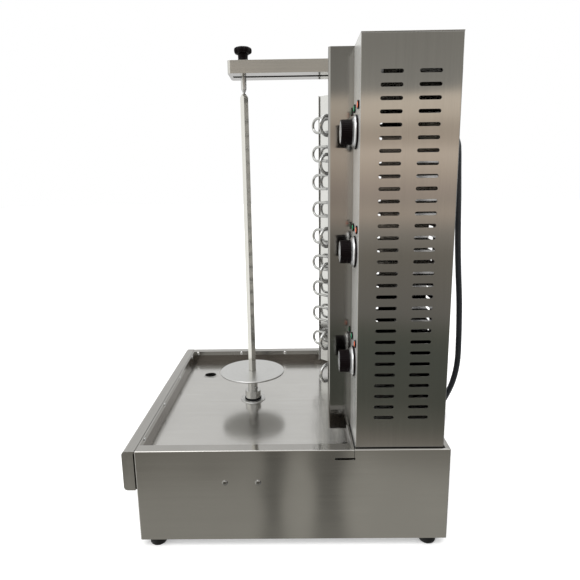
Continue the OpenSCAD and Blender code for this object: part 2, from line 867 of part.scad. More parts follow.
module top_pin() {
    color(bright) translate([spit_x, 0, 0]) {
        translate([0, 0, pin_tip_z]) cylinder(r1 = 0.4, r2 = pin_r, h = pin_cone_h);
        bar(pin_r, pin_tip_z + pin_cone_h, star_z + 6);
    }
}

module star_knob() {
    color(dark) translate([spit_x, 0, 0]) difference() {
        union() {
            bar(neck_r, arm_top_z + 0.4, star_z);
            translate([0, 0, star_z]) {
                cylinder(r1 = neck_r, r2 = star_r - 6, h = 5);
                translate([0, 0, 5]) cylinder(r = star_r - 6, h = star_h - 7);
                translate([0, 0, star_h - 2]) cylinder(r1 = star_r - 6, r2 = star_r - 11, h = 2);
            }
            for (k = [0 : star_lobes - 1]) rotate(360 * k / star_lobes)
                bar(5, star_z + 3, star_z + star_h - 2, [star_r - 5, 0]);
        }
        bar(pin_r + fine, arm_top_z - over, star_z + 6.3);
    }
}

// ---------- dials and lamps ----------

// The black grip with its flared skirt, around the -X axis
module dial_knob(z) {
    grooves = 20;
    color(dark) along_minus_x([x_col0 - dial_gap, dial_y, z]) difference() {
        rotate_extrude() polygon([
            [0, 0], [dial_r, 0], [dial_r, 2], [dial_r - 1.5, 3], [grip_r + 1, skirt_h],
            [grip_r, skirt_h + 0.5], [grip_r, dial_depth - 1], [grip_r - 1, dial_depth],
            [0, dial_depth]
        ]);
        for (k = [0 : grooves - 1]) rotate(360 * k / grooves)
            bar(1.2, skirt_h + 2, dial_depth + over, [grip_r + 0.5, 0]);
        translate([0, 0, dial_depth - 1]) cylinder(r = face_r, h = 2);
        translate([0, 0, -over]) cylinder(r = spindle_pin_r, h = 18 + over);
    }
}

module dial_knob_top() dial_knob(dial_zs[0]);
module dial_knob_middle() dial_knob(dial_zs[1]);
module dial_knob_bottom() dial_knob(dial_zs[2]);

// The bright disc let into the grip's face, and the scale ring that lies on the skirt
module dial_trim(z) {
    color(bright) along_minus_x([x_col0 - dial_gap, dial_y, z]) {
        translate([0, 0, dial_depth - 1]) cylinder(r = face_r, h = 1);
        rotate_extrude() polygon([
            [dial_r - 1.5, 3], [dial_r - 1, 3.6], [grip_r + 1.5, skirt_h + 0.6],
            [grip_r + 1, skirt_h]
        ]);
    }
}

module dial_trim_top() dial_trim(dial_zs[0]);
module dial_trim_middle() dial_trim(dial_zs[1]);
module dial_trim_bottom() dial_trim(dial_zs[2]);

module dial_spindle(z) {
    inside = 8;
    color(zinc) along_minus_x([x_col0 + inside, dial_y, z])
        cylinder(r = spindle_pin_r, h = inside + dial_gap + 18);
}

module dial_spindle_top() dial_spindle(dial_zs[0]);
module dial_spindle_middle() dial_spindle(dial_zs[1]);
module dial_spindle_bottom() dial_spindle(dial_zs[2]);

module regulators() {
    half = 24;
    color([0.16, 0.16, 0.17]) for (z = dial_zs) difference() {
        union() {
            block([x_col0 + sheet, dial_y - half, z - half], [x_col0 + 34, dial_y + half, z + half]);
            along_x([x_col0, dial_y, z]) cylinder(r = panel_hole, h = sheet);
        }
        along_x([x_col0 - over, dial_y, z]) cylinder(r = spindle_pin_r + fine, h = 9 + over);
    }
}

// A pilot lamp: a domed lens on the panel and its body behind it
module lamps(side, hue) {
    color(hue) for (z = dial_zs)
        along_minus_x([x_col0, dial_y + side * lamp_half_span, z + lamp_up]) {
            rotate_extrude() polygon([[0, 0], [lamp_r, 0], [lamp_r, 1.5], [lamp_r - 2, 3.5], [0, 4]]);
            translate([0, 0, -20]) cylinder(r = lamp_r - 2, h = 20);
        }
}

module red_lamps() lamps(-1, [0.85, 0.25, 0.1]);
module green_lamps() lamps(1, [0.05, 0.55, 0.3]);

module terminal_block() {
    x1 = x_col1 - sheet;
    color([0.9, 0.88, 0.82]) difference() {
        block([x1 - 24, gland_y - 130, gland_z - 40], [x1, gland_y - 40, gland_z + 10]);
        for (k = [0 : 4])
            block([x1 - 25, gland_y - 124 + 17 * k, gland_z - 32], [x1 - 14, gland_y - 114 + 17 * k, gland_z]);
    }
}

// ---------- cord ----------

// Lock nut inside, hexagon and cap outside, and a tapered sleeve over the cord
module cord_gland() {
    inner = 8;
    color(dark) along_x([x_col1, gland_y, gland_z]) difference() {
        union() {
            cylinder(r = 16, h = 6, $fn = 6);
            translate([0, 0, 6]) cylinder(r1 = 14, r2 = 12.5, h = 6);
            translate([0, 0, 12]) cylinder(r1 = 11.5, r2 = 9, h = gland_len - 12);
            translate([0, 0, -inner - sheet]) cylinder(r = 11, h = inner + sheet);
            translate([0, 0, -inner]) cylinder(r = 15, h = inner - sheet, $fn = 6);
        }
        translate([0, 0, -inner - 3 * over])
            cylinder(r = cord_r + fine, h = gland_len + inner + 4 * over);
    }
}

module cord() {
    color([0.13, 0.16, 0.19]) {
        tube(cord_route, cord_r, [0, 1, 0]);
        tube(tail_route, cord_r, [1, 0, 0]);
    }
}

// The outer shape of the turns, which lie on each other
module cord_coil() {
    color([0.13, 0.16, 0.19]) translate([coil_x, coil_y, floor_z - cord_r]) rotate_extrude($fn = 64)
        translate([coil_r - cord_r, 0]) square([cord_d, (coil_turns + 1) * cord_d]);
}

// A round three-pin plug lying on its side
module cord_plug() {
    body = 62;
    pin_at = 12;
    color(dark) along_y([plug_x, plug_y, plug_z]) {
        cylinder(r1 = 11, r2 = 15, h = 14);
        translate([0, 0, 14]) cylinder(r1 = 17, r2 = 24, h = 20);
        translate([0, 0, 34]) cylinder(r = 24, h = body - 34);
        translate([0, 0, body]) cylinder(r = 26.5, h = 8);
    }
    color(zinc) for (k = [0 : 2])
        along_y([plug_x, plug_y + body + 8, plug_z]) rotate(120 * k) bar(2.5, 0, 20, [pin_at, 0]);
}

base_shell();
base_floor();
front_bumper();
bumper_screws();
tray_floor();
tray_walls();
tray_screws();
side_screws();
drain_spout();
feet();
foot_screws();
motor_beam();
gearbox();
motor_can();
hub_flange();
hub_bearing();
hub_seal();
drive_spindle();
disc_sleeve();
sleeve_screw();
spit_disc();
spit_bar();
column_near_panel();
column_far_panel();
column_back_panel();
back_screws();
column_front_panel();
control_panel();
column_top();
control_shield();
heater_casing();
reflector();
insulation();
element_top();
element_middle();
element_bottom();
element_bushes();
element_clips();
top_arm();
arm_bolts();
arm_nut();
top_pin();
star_knob();
dial_knob_top();
dial_knob_middle();
dial_knob_bottom();
dial_trim_top();
dial_trim_middle();
dial_trim_bottom();
dial_spindle_top();
dial_spindle_middle();
dial_spindle_bottom();
regulators();
red_lamps();
green_lamps();
terminal_block();
cord_gland();
cord();
cord_coil();
cord_plug();
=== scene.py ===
import json
import math

import bmesh
import bpy
from mathutils import Matrix, Vector

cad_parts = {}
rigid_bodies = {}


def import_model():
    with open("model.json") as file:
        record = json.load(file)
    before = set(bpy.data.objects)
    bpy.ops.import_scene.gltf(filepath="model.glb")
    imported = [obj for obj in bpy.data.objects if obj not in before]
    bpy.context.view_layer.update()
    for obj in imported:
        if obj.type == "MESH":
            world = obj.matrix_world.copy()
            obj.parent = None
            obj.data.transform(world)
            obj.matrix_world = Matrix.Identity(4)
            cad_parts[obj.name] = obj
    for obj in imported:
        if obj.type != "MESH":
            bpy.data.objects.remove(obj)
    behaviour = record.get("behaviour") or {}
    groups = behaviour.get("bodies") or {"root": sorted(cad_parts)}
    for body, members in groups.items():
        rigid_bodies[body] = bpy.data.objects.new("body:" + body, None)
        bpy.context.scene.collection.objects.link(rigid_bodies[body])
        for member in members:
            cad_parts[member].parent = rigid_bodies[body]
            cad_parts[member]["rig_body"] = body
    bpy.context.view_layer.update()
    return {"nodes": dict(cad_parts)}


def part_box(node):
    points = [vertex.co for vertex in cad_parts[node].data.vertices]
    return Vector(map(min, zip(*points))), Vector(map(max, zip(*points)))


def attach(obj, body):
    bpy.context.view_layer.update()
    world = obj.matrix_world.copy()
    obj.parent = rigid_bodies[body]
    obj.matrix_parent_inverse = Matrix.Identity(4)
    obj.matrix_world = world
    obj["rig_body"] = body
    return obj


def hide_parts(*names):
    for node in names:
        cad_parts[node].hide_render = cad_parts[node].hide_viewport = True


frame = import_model()
NODES = frame["nodes"]
SCENE = bpy.context.scene
LEVELS = ("top", "middle", "bottom")


def low(node):
    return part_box(node)[0]


def high(node):
    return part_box(node)[1]


def centre(node):
    return (low(node) + high(node)) / 2


# ---------------------------------------------------------------- camera

PITCH = math.radians(11.96)
YAW = math.radians(-0.67)
ROLL = math.radians(-0.81)
CAMERA_AT = Vector((0.0239, -1.2791, 0.7506))
FOCAL_MM = 32.17
SENSOR_MM = 36


def make_camera():
    forward = Vector((math.sin(YAW) * math.cos(PITCH), math.cos(YAW) * math.cos(PITCH), -math.sin(PITCH)))
    right = Vector((math.cos(YAW), -math.sin(YAW), 0))
    up = right.cross(forward)
    x = math.cos(ROLL) * right + math.sin(ROLL) * up
    y = -math.sin(ROLL) * right + math.cos(ROLL) * up
    m = Matrix((x, y, -forward)).transposed().to_4x4()
    m.translation = CAMERA_AT
    data = bpy.data.cameras.new("camera")
    data.sensor_width = SENSOR_MM
    data.lens = FOCAL_MM
    data.clip_start = 0.05
    data.clip_end = 60
    cam = bpy.data.objects.new("camera", data)
    SCENE.collection.objects.link(cam)
    cam.matrix_world = m
    SCENE.camera = cam


make_camera()

# ---------------------------------------------------------------- node helpers


class Graph:
    """A material's node tree, with short calls for the nodes used here."""

    def __init__(self, name):
        self.material = bpy.data.materials.new(name)
        self.material.use_nodes = True
        self.tree = self.material.node_tree
        self.tree.nodes.clear()
        self.out = self.add("ShaderNodeOutputMaterial")
        self.bsdf = self.add("ShaderNodeBsdfPrincipled")
        self.link(self.bsdf.outputs[0], self.out.inputs["Surface"])

    def add(self, kind):
        return self.tree.nodes.new(kind)

    def link(self, a, b):
        self.tree.links.new(a, b)

    def feed(self, socket, value):
        if isinstance(value, bpy.types.NodeSocket):
            self.link(value, socket)
        elif isinstance(value, (tuple, list)) and len(value) == 3 and socket.type == "RGBA":
            socket.default_value = (*value, 1)
        else:
            socket.default_value = value

    def place(self, scale=(1, 1, 1), location=(0, 0, 0)):
        tex = self.add("ShaderNodeTexCoord")
        m = self.add("ShaderNodeMapping")
        m.inputs["Scale"].default_value = scale
        m.inputs["Location"].default_value = location
        self.link(tex.outputs["Object"], m.inputs["Vector"])
        return m.outputs[0]

    def noise(self, vector, scale, detail, rough):
        n = self.add("ShaderNodeTexNoise")
        self.link(vector, n.inputs["Vector"])
        n.inputs["Scale"].default_value = scale
        n.inputs["Detail"].default_value = detail
        n.inputs["Roughness"].default_value = rough
        return n.outputs[0]

    def ranged(self, value, low_in, high_in, low_out, high_out):
        n = self.add("ShaderNodeMapRange")
        self.feed(n.inputs["Value"], value)
        names = ("From Min", "From Max", "To Min", "To Max")
        for name, v in zip(names, (low_in, high_in, low_out, high_out)):
            n.inputs[name].default_value = v
        return n.outputs[0]

    def math(self, op, a, b=0.0):
        n = self.add("ShaderNodeMath")
        n.operation = op
        self.feed(n.inputs[0], a)
        self.feed(n.inputs[1], b)
        return n.outputs[0]

    def mix(self, factor, a, b):
        n = self.add("ShaderNodeMix")
        n.data_type = "RGBA"
        self.feed(n.inputs[0], factor)
        self.feed(n.inputs[6], a)
        self.feed(n.inputs[7], b)
        return n.outputs[2]

    def bump(self, height, strength, distance, under=None):
        n = self.add("ShaderNodeBump")
        n.inputs["Strength"].default_value = strength
        n.inputs["Distance"].default_value = distance
        self.link(height, n.inputs["Height"])
        if under:
            self.link(under, n.inputs["Normal"])
        self.link(n.outputs[0], self.bsdf.inputs["Normal"])
        return n.outputs[0]

    def set(self, **values):
        for key, value in values.items():
            self.feed(self.bsdf.inputs[key.replace("_", " ")], value)


def shade(c, k):
    """The colour c made k times as bright."""
    return tuple(min(1, v * k) for v in c)


def brushed(name, colour, rough, grain, aniso, tangent, streak, marks, bump=0.08, metal=1.0, wave=0.0):
    """Brushed sheet: fine streaks along the axis where grain is small, faint cloudy marks and slow waves."""
    g = Graph(name)
    fine = g.noise(g.place([v * 3.1 for v in grain]), 1, 2, 0.6)
    wide = g.noise(g.place(grain, (3.1, 7.7, 1.3)), 0.22, 3, 0.6)
    cloud = g.noise(g.place((1, 1, 1), (5, 2, 9)), 5.5, 3, 0.55)
    streaks = g.math("ADD", g.math("MULTIPLY", fine, 0.55), g.math("MULTIPLY", wide, 0.45))
    tone = g.mix(g.ranged(streaks, 0.3, 0.7, 0, 1), shade(colour, 1 - streak), shade(colour, 1 + streak))
    tone = g.mix(g.ranged(cloud, 0.35, 0.75, 0, 1), tone, shade(colour, 1 - 1.5 * marks))
    g.set(Base_Color=tone, Metallic=metal)
    r = g.math("ADD", g.ranged(streaks, 0.3, 0.7, rough * 0.86, rough * 1.14),
               g.ranged(cloud, 0.3, 0.8, -marks * 0.5, marks))
    g.set(Roughness=r)
    if aniso:
        g.bsdf.inputs["Anisotropic"].default_value = aniso
        t = g.add("ShaderNodeTangent")
        t.direction_type = "RADIAL"
        t.axis = tangent
        g.link(t.outputs[0], g.bsdf.inputs["Tangent"])
    slow = g.noise(g.place((1, 1, 1), (3, 6, 2)), 4.5, 1, 0.4)
    bent = g.bump(slow, 1.0, wave) if wave else None
    g.bump(fine, bump, 0.0002, bent)
    return g.material


def turned(name, colour, rough, at, rings):
    """Lathe-turned metal: rings round a vertical axis through the point at."""
    g = Graph(name)
    tex = g.add("ShaderNodeTexCoord")
    sep = g.add("ShaderNodeSeparateXYZ")
    g.link(tex.outputs["Object"], sep.inputs[0])
    dx = g.math("SUBTRACT", sep.outputs[0], at[0])
    dy = g.math("SUBTRACT", sep.outputs[1], at[1])
    radius = g.math("SQRT", g.math("ADD", g.math("MULTIPLY", dx, dx), g.math("MULTIPLY", dy, dy)))
    ring = g.add("ShaderNodeTexNoise")
    ring.noise_dimensions = "2D"
    comb = g.add("ShaderNodeCombineXYZ")
    g.link(g.math("MULTIPLY", radius, rings), comb.inputs[0])
    g.link(g.math("MULTIPLY", sep.outputs[2], rings), comb.inputs[1])
    g.link(comb.outputs[0], ring.inputs["Vector"])
    ring.inputs["Scale"].default_value = 1
    cloud = g.noise(g.place((1, 1, 1), (2, 8, 4)), 18, 3, 0.6)
    tone = g.mix(g.ranged(ring.outputs[0], 0.3, 0.7, 0, 1), shade(colour, 0.97), shade(colour, 1.02))
    tone = g.mix(g.ranged(cloud, 0.5, 0.8, 0, 0.4), tone, shade(colour, 0.88))
    g.set(Base_Color=tone, Metallic=1.0)
    g.set(Roughness=g.math("ADD", g.ranged(ring.outputs[0], 0.3, 0.7, rough * 0.93, rough * 1.07),
                           g.ranged(cloud, 0.4, 0.8, 0.0, 0.08)))
    g.bump(ring.outputs[0], 0.006, 0.0002)
    return g.material


def plated(name, colour, rough, speck=220.0, bump=0.1):
    """Small bright or plated metal parts with a faint mottled skin."""
    g = Graph(name)
    fine = g.noise(g.place(), speck, 3, 0.6)
    cloud = g.noise(g.place((1, 1, 1), (1, 4, 2)), speck / 9, 2, 0.5)
    tone = g.mix(g.ranged(fine, 0.3, 0.7, 0, 1), shade(colour, 0.88), shade(colour, 1.08))
    tone = g.mix(g.ranged(cloud, 0.45, 0.75, 0, 0.45), tone, shade(colour, 0.72))
    g.set(Base_Color=tone, Metallic=1.0)
    g.set(Roughness=g.math("ADD", g.ranged(fine, 0.3, 0.7, rough * 0.8, rough * 1.2),
                           g.ranged(cloud, 0.4, 0.8, 0.0, 0.12)))
    g.bump(fine, bump, 0.0002)
    return g.material


def moulded(name, colour, rough, grain, bump, wear, coat=0.0, shine=0.5):
    """Rubber or plastic with a moulded grain, and dusty, slightly paler patches."""
    g = Graph(name)
    fine = g.noise(g.place(), grain, 2, 0.5)
    cloud = g.noise(g.place((1, 1, 1), (6, 1, 3)), grain / 22, 4, 0.6)
    pale = tuple(v + 0.03 * (1 + wear) for v in colour)
    tone = g.mix(g.ranged(cloud, 0.4, 0.8, 0, wear), colour, pale)
    tone = g.mix(g.ranged(fine, 0.3, 0.7, 0, 1), tone, g.mix(0.5, tone, shade(colour, 0.7)))
    g.set(Base_Color=tone)
    g.set(Roughness=g.math("ADD", g.ranged(fine, 0.3, 0.7, rough * 0.9, rough * 1.1),
                           g.ranged(cloud, 0.3, 0.8, -0.05, 0.1)))
    g.bsdf.inputs["Specular IOR Level"].default_value = shine
    if coat:
        g.bsdf.inputs["Coat Weight"].default_value = coat
        g.bsdf.inputs["Coat Roughness"].default_value = 0.12
    g.bump(fine, bump, 0.0003)
    return g.material


# A point on the axis of the spit
SPIT = Vector((centre("spit_bar").x, centre("spit_bar").y, 0))

STEEL = (0.44, 0.43, 0.41)
MAT = {
    "case_h": brushed("case_h", STEEL, 0.105, (5, 5, 420), 0.9, "X", 0.07, 0.02, 0.04, wave=0.0026),
    "case_x": brushed("case_x", shade(STEEL, 1.05), 0.12, (5, 420, 420), 0.9, "X", 0.06, 0.02, 0.04),
    "case_v": brushed("case_v", STEEL, 0.10, (420, 420, 5), 0.9, "Z", 0.06, 0.02, 0.03, wave=0.0007),
    # The shield: the case steel made darker, as painted shade
    "shield": brushed("shield", shade(STEEL, 0.76), 0.10, (420, 420, 5), 0.9, "Z", 0.06, 0.02, 0.03),
    "bumper": brushed("bumper", STEEL, 0.20, (420, 6, 420), 0.6, "Y", 0.07, 0.04),
    "panel": brushed("panel", (0.80, 0.80, 0.78), 0.30, (420, 420, 6), 0, None, 0.05, 0.04, 0.02, 0.55),
    "reflector": brushed("reflector", (0.66, 0.66, 0.65), 0.12, (300, 6, 300), 0, None, 0.06, 0.05, 0.03),
    "reflector_darker_middle": brushed("reflector_darker_middle", (0.40, 0.39, 0.375), 0.14, (300, 6, 300), 0, None, 0.08, 0.08, 0.03),
    "tray": brushed("tray", (0.62, 0.61, 0.59), 0.17, (5, 380, 380), 0, None, 0.06, 0.05, 0.03),
    "spit": brushed("spit", (0.68, 0.67, 0.64), 0.12, (600, 600, 9), 0, None, 0.04, 0.03, 0.02),
    "disc": turned("disc", (0.60, 0.60, 0.59), 0.32, SPIT, 500.0),
    # The tray walls: the tray's steel made far darker, as painted shade inside the tray
    "wall": brushed("wall", (0.20, 0.18, 0.16), 0.2, (5, 380, 380), 0, None, 0.08, 0.06, 0.03),
    # The top arm: the case steel made brighter, as painted light
    "arm": brushed("arm", shade(STEEL, 1.32), 0.14, (5, 420, 420), 0.8, "X", 0.06, 0.03, 0.04),
    "mirror": plated("mirror", (0.58, 0.575, 0.56), 0.07, 300, 0.02),
    "tube": plated("tube", (0.47, 0.47, 0.46), 0.11, 260, 0.03),
    "zinc": plated("zinc", (0.52, 0.53, 0.54), 0.32),
    "dark_zinc": plated("dark_zinc", (0.30, 0.295, 0.28), 0.16),
    "bright": plated("bright", (0.7, 0.7, 0.7), 0.16),
    "brass": plated("brass", (0.72, 0.66, 0.5), 0.28),
    "rubber": moulded("rubber", (0.007, 0.0075, 0.008), 0.62, 1100, 0.2, 0.3, 0, 0.25),
    "cord": moulded("cord", (0.014, 0.019, 0.026), 0.42, 700, 0.12, 0.35),
    "black": moulded("black", (0.005, 0.0028, 0.0034), 0.3, 1300, 0.02, 0.03, 0, 0.06),
    "paint": moulded("paint", (0.03, 0.03, 0.033), 0.45, 500, 0.15, 0.3),
    "block": moulded("block", (0.16, 0.16, 0.165), 0.5, 600, 0.15, 0.2),
    "cream": moulded("cream", (0.72, 0.69, 0.6), 0.55, 500, 0.1, 0.1),
    "ceramic": moulded("ceramic", (0.8, 0.78, 0.73), 0.3, 700, 0.05, 0.1, 0.4),
    "wool": moulded("wool", (0.66, 0.62, 0.52), 0.9, 240, 0.8, 0.6),
}


def lens(name, colour, glow):
    g = Graph(name)
    fine = g.noise(g.place(), 420, 2, 0.5)
    tone = g.mix(g.ranged(fine, 0.3, 0.7, 0, 1), shade(colour, 0.8), colour)
    g.set(Base_Color=tone, Roughness=g.ranged(fine, 0.3, 0.7, 0.12, 0.2))
    g.bsdf.inputs["Coat Weight"].default_value = 0.6
    g.bsdf.inputs["Emission Color"].default_value = (*colour, 1)
    g.bsdf.inputs["Emission Strength"].default_value = glow
    return g.material


MAT["red"] = lens("red", (0.85, 0.13, 0.03), 0.25)
MAT["green"] = lens("green", (0.0, 0.33, 0.14), 0.1)

# ---------------------------------------------------------------- mesh helpers


def put(name, mesh, body, material, replaced=(), smooth=True):
    obj = bpy.data.objects.new(name, mesh)
    SCENE.collection.objects.link(obj)
    mesh.materials.clear()
    for m in material if isinstance(material, (list, tuple)) else (material,):
        mesh.materials.append(MAT[m] if isinstance(m, str) else m)
    if smooth:
        for p in mesh.polygons:
            p.use_smooth = True
    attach(obj, body)
    if replaced:
        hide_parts(*replaced)
    return obj


def bevel(obj, width, segments):
    """Rounds the sharp edges, and keeps the flat faces flat."""
    m = obj.modifiers.new("edges", "BEVEL")
    m.width = width
    m.segments = segments
    m.limit_method = "ANGLE"
    m.angle_limit = math.radians(35)
    m.use_clamp_overlap = True
    w = obj.modifiers.new("normals", "WEIGHTED_NORMAL")
    w.keep_sharp = True
    return obj


def skin(node, material, width, segments=2):
    """A copy of a CAD sheet part with its bent and cut edges rounded."""
    source = NODES[node]
    bm = bmesh.new()
    bm.from_mesh(source.data)
    bmesh.ops.remove_doubles(bm, verts=bm.verts, dist=2e-6)
    bmesh.ops.dissolve_limit(bm, angle_limit=math.radians(0.6), verts=bm.verts, edges=bm.edges)
    mesh = bpy.data.meshes.new(node + "_skin")
    bm.to_mesh(mesh)
    bm.free()
    obj = put(node + "_skin", mesh, source["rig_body"], material, (node,))
    return bevel(obj, width, segments)


def along(edge, **planes):
    """Whether an edge lies in all the given planes, such as x=0.1."""
    near = 1e-5
    return all(abs(getattr(v.co, axis) - at) < near for v in edge.verts for axis, at in planes.items())


def folded(node, material, width, chosen, rest):
    """As skin with the width rest, and with a wide round bend along the chosen edges."""
    obj = skin(node, material, rest)
    bm = bmesh.new()
    bm.from_mesh(obj.data)
    edges = [e for e in bm.edges if chosen(e)]
    bmesh.ops.bevel(bm, geom=edges, offset=width, segments=5, profile=0.5, affect="EDGES", clamp_overlap=True)
    for f in bm.faces:
        f.smooth = True
    bm.to_mesh(obj.data)
    bm.free()
    return obj


def keep(node, material):
    """A CAD node that stays, with a better material."""
    data = NODES[node].data
    data.materials.clear()
    data.materials.append(MAT[material])


def placed(origin, axis):
    """The matrix that takes +Z to the given axis at the given point."""
    q = Vector((0, 0, 1)).rotation_difference(Vector(axis))
    return Matrix.Translation(origin) @ q.to_matrix().to_4x4()


def lathe(bm, profile, sides, matrix, wave=None, material=0):
    """Turns a profile of (radius, height) points. wave(angle, index) scales a ring's radius."""
    rings = []
    for i, (r, z) in enumerate(profile):
        if r < 1e-7:
            rings.append([bm.verts.new(matrix @ Vector((0, 0, z)))])
            continue
        ring = []
        for k in range(sides):
            a = 2 * math.pi * k / sides
            rr = r * (wave(a, i) if wave else 1)
            ring.append(bm.verts.new(matrix @ Vector((rr * math.cos(a), rr * math.sin(a), z))))
        rings.append(ring)
    for a, b in zip(rings, rings[1:]):
        for k in range(sides):
            j = (k + 1) % sides
            if len(a) == 1 and len(b) == 1:
                continue
            if len(a) == 1:
                f = bm.faces.new((a[0], b[k], b[j]))
            elif len(b) == 1:
                f = bm.faces.new((a[k], b[0], a[j]))
            else:
                f = bm.faces.new((a[k], b[k], b[j], a[j]))
            f.material_index = material
    bmesh.ops.recalc_face_normals(bm, faces=bm.faces)


def finish_mesh(bm, name):
    mesh = bpy.data.meshes.new(name)
    bmesh.ops.recalc_face_normals(bm, faces=bm.faces)
    bm.to_mesh(mesh)
    bm.free()
    return mesh


def rounded(profile, width):
    """A profile with its inner corners rounded by about the given width."""
    steps = 3
    out = [profile[0]]
    for p, q, r in zip(profile, profile[1:], profile[2:]):
        a, b = Vector(p) - Vector(q), Vector(r) - Vector(q)
        w = min(width, a.length * 0.45, b.length * 0.45)
        if w < 1e-6 or abs(a.normalized().dot(b.normalized())) > 0.996:
            out.append(q)
            continue
        s, e = Vector(q) + a.normalized() * w, Vector(q) + b.normalized() * w
        for k in range(steps + 1):
            t = k / steps
            v = (1 - t) ** 2 * s + 2 * t * (1 - t) * Vector(q) + t * t * e
            out.append((v.x, v.y))
    out.append(profile[-1])
    return out


def tube_mesh(points, radius, name, sides):
    """A round tube along the points, with flat ends."""
    pts = [Vector(p) for p in points]
    rings = []
    normal = Vector((0, 0, 1))
    bm = bmesh.new()
    for i, p in enumerate(pts):
        t = (pts[min(i + 1, len(pts) - 1)] - pts[max(i - 1, 0)]).normalized()
        normal = (normal - normal.dot(t) * t).normalized()
        side = t.cross(normal)
        rings.append([
            bm.verts.new(p + radius * (math.cos(a) * normal + math.sin(a) * side))
            for a in (2 * math.pi * k / sides for k in range(sides))
        ])
    for a, b in zip(rings, rings[1:]):
        for k in range(sides):
            bm.faces.new((a[k], a[(k + 1) % sides], b[(k + 1) % sides], b[k]))
    bm.faces.new(rings[0])
    bm.faces.new(list(reversed(rings[-1])))
    return finish_mesh(bm, name)


# ---------------------------------------------------------------- cord

CORD_D = 0.014
GLAND = Vector((0.345, -0.040, 0.870))
COIL = Vector((0.421, 0.300, 0.0071))
COIL_R = 0.075
COIL_TURNS = 2
# From the gland down behind the column to the coil, in millimetres
ROUTE = [
    (335, -40, 870), (345, -40, 870), (359.8, -40, 868.1), (373.5, -40, 862.4), (385.3, -40, 853.3),
    (394.4, -40, 841.5), (400.1, -40, 827.8), (402, -40, 813), (404.5, -40, 768), (408, -40, 700),
    (410.5, -40, 641), (413.5, -40, 581), (418, -40, 520), (423, -40, 458), (425.5, -40, 407),
    (427, -40, 356), (427, -40, 304), (424.5, -39, 277), (420.5, -37, 253), (415, -32, 228),
    (408.5, -25, 205), (400, -14, 176), (391.5, 2, 141), (384, 22, 108), (377, 48, 77),
    (371, 80, 50), (365.5, 118, 28), (359, 160, 13.5), (353, 200, 8), (348.5, 235, 7.1),
    (346.5, 262, 7.1),
]
# From the coil to the plug, in millimetres
TAIL = [(346, 338, 34.6), (346.5, 354, 32.1), (347.3, 370, 29), (348, 385, 27)]


def coil_points():
    """Turns that lie on each other: each keeps level, then climbs over the crossing."""
    out = []
    steps = 16
    level = 0.55  # share of a turn before the climb
    for k in range(COIL_TURNS * steps + 1):
        turn, part = divmod(k, steps)
        t = part / steps
        climb = min(1, max(0, (t - level) / (1 - level)))
        climb = climb * climb * (3 - 2 * climb)
        a = math.pi - 2 * math.pi * t
        out.append(COIL + Vector((COIL_R * math.cos(a), COIL_R * math.sin(a), CORD_D * (turn + climb))))
    return out


def make_cord():
    """The cord as one curve, with its length measured between its points."""
    points = [Vector(p) / 1000 for p in ROUTE] + coil_points()
    points += [Vector(p) / 1000 for p in TAIL]
    curve = bpy.data.curves.new("power_cord", "CURVE")
    curve.dimensions = "3D"
    curve.bevel_depth = CORD_D / 2
    curve.bevel_resolution = 5
    curve.resolution_u = 6
    curve.use_fill_caps = True
    spline = curve.splines.new("BEZIER")
    spline.bezier_points.add(len(points) - 1)
    for b, p in zip(spline.bezier_points, points):
        b.co = p
        b.handle_left_type = "AUTO"
        b.handle_right_type = "AUTO"
    obj = bpy.data.objects.new("power_cord", curve)
    SCENE.collection.objects.link(obj)
    curve.materials.append(MAT["cord"])
    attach(obj, "frame")
    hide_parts("cord", "cord_coil")
    length = sum((b - a).length for a, b in zip(points, points[1:]))
    return obj, length


def make_gland():
    m = placed((high("column_back_panel").x, GLAND.y, GLAND.z), (1, 0, 0))
    bm = bmesh.new()
    hexed = [(0.0, -0.0001), (0.0150, -0.0001), (0.0158, 0.0008), (0.0158, 0.0052), (0.0148, 0.006),
             (0.0, 0.006)]
    flat_share = 0.872  # from the axis to a flat, as a share of the distance to a corner

    def six(a, i):
        b = (a + math.pi / 6) % (math.pi / 3) - math.pi / 6
        return min(1.0, flat_share / math.cos(b))

    lathe(bm, hexed, 96, m, six)

    def ribs(a, i):
        return 1 + (0.035 * math.cos(12 * a) if 1 <= i <= 4 else 0)

    dome = [(0.0131, 0.006), (0.0134, 0.0068), (0.0132, 0.0095), (0.0126, 0.0116), (0.0118, 0.0124),
            (0.0108, 0.0128)]
    lathe(bm, dome, 96, m, ribs)
    boot = [(0.0112, 0.0122)]
    for k in range(5):
        z = 0.0128 + 0.0026 * k
        r = 0.0110 - 0.0005 * k
        boot += [(r, z), (r, z + 0.0014), (r - 0.0009, z + 0.0018), (r - 0.0009, z + 0.0023)]
    boot += [(0.0084, 0.0258), (0.0072, 0.026), (0.0069, 0.0255), (0.0069, 0.012)]
    lathe(bm, boot, 48, m)
    inner = [(0.0072, -0.0095), (0.0108, -0.0095), (0.0108, 0.0)]
    lathe(bm, inner, 48, m)
    mesh = finish_mesh(bm, "cord_gland_body")
    return put("cord_gland_body", mesh, "frame", "rubber", ("cord_gland",))


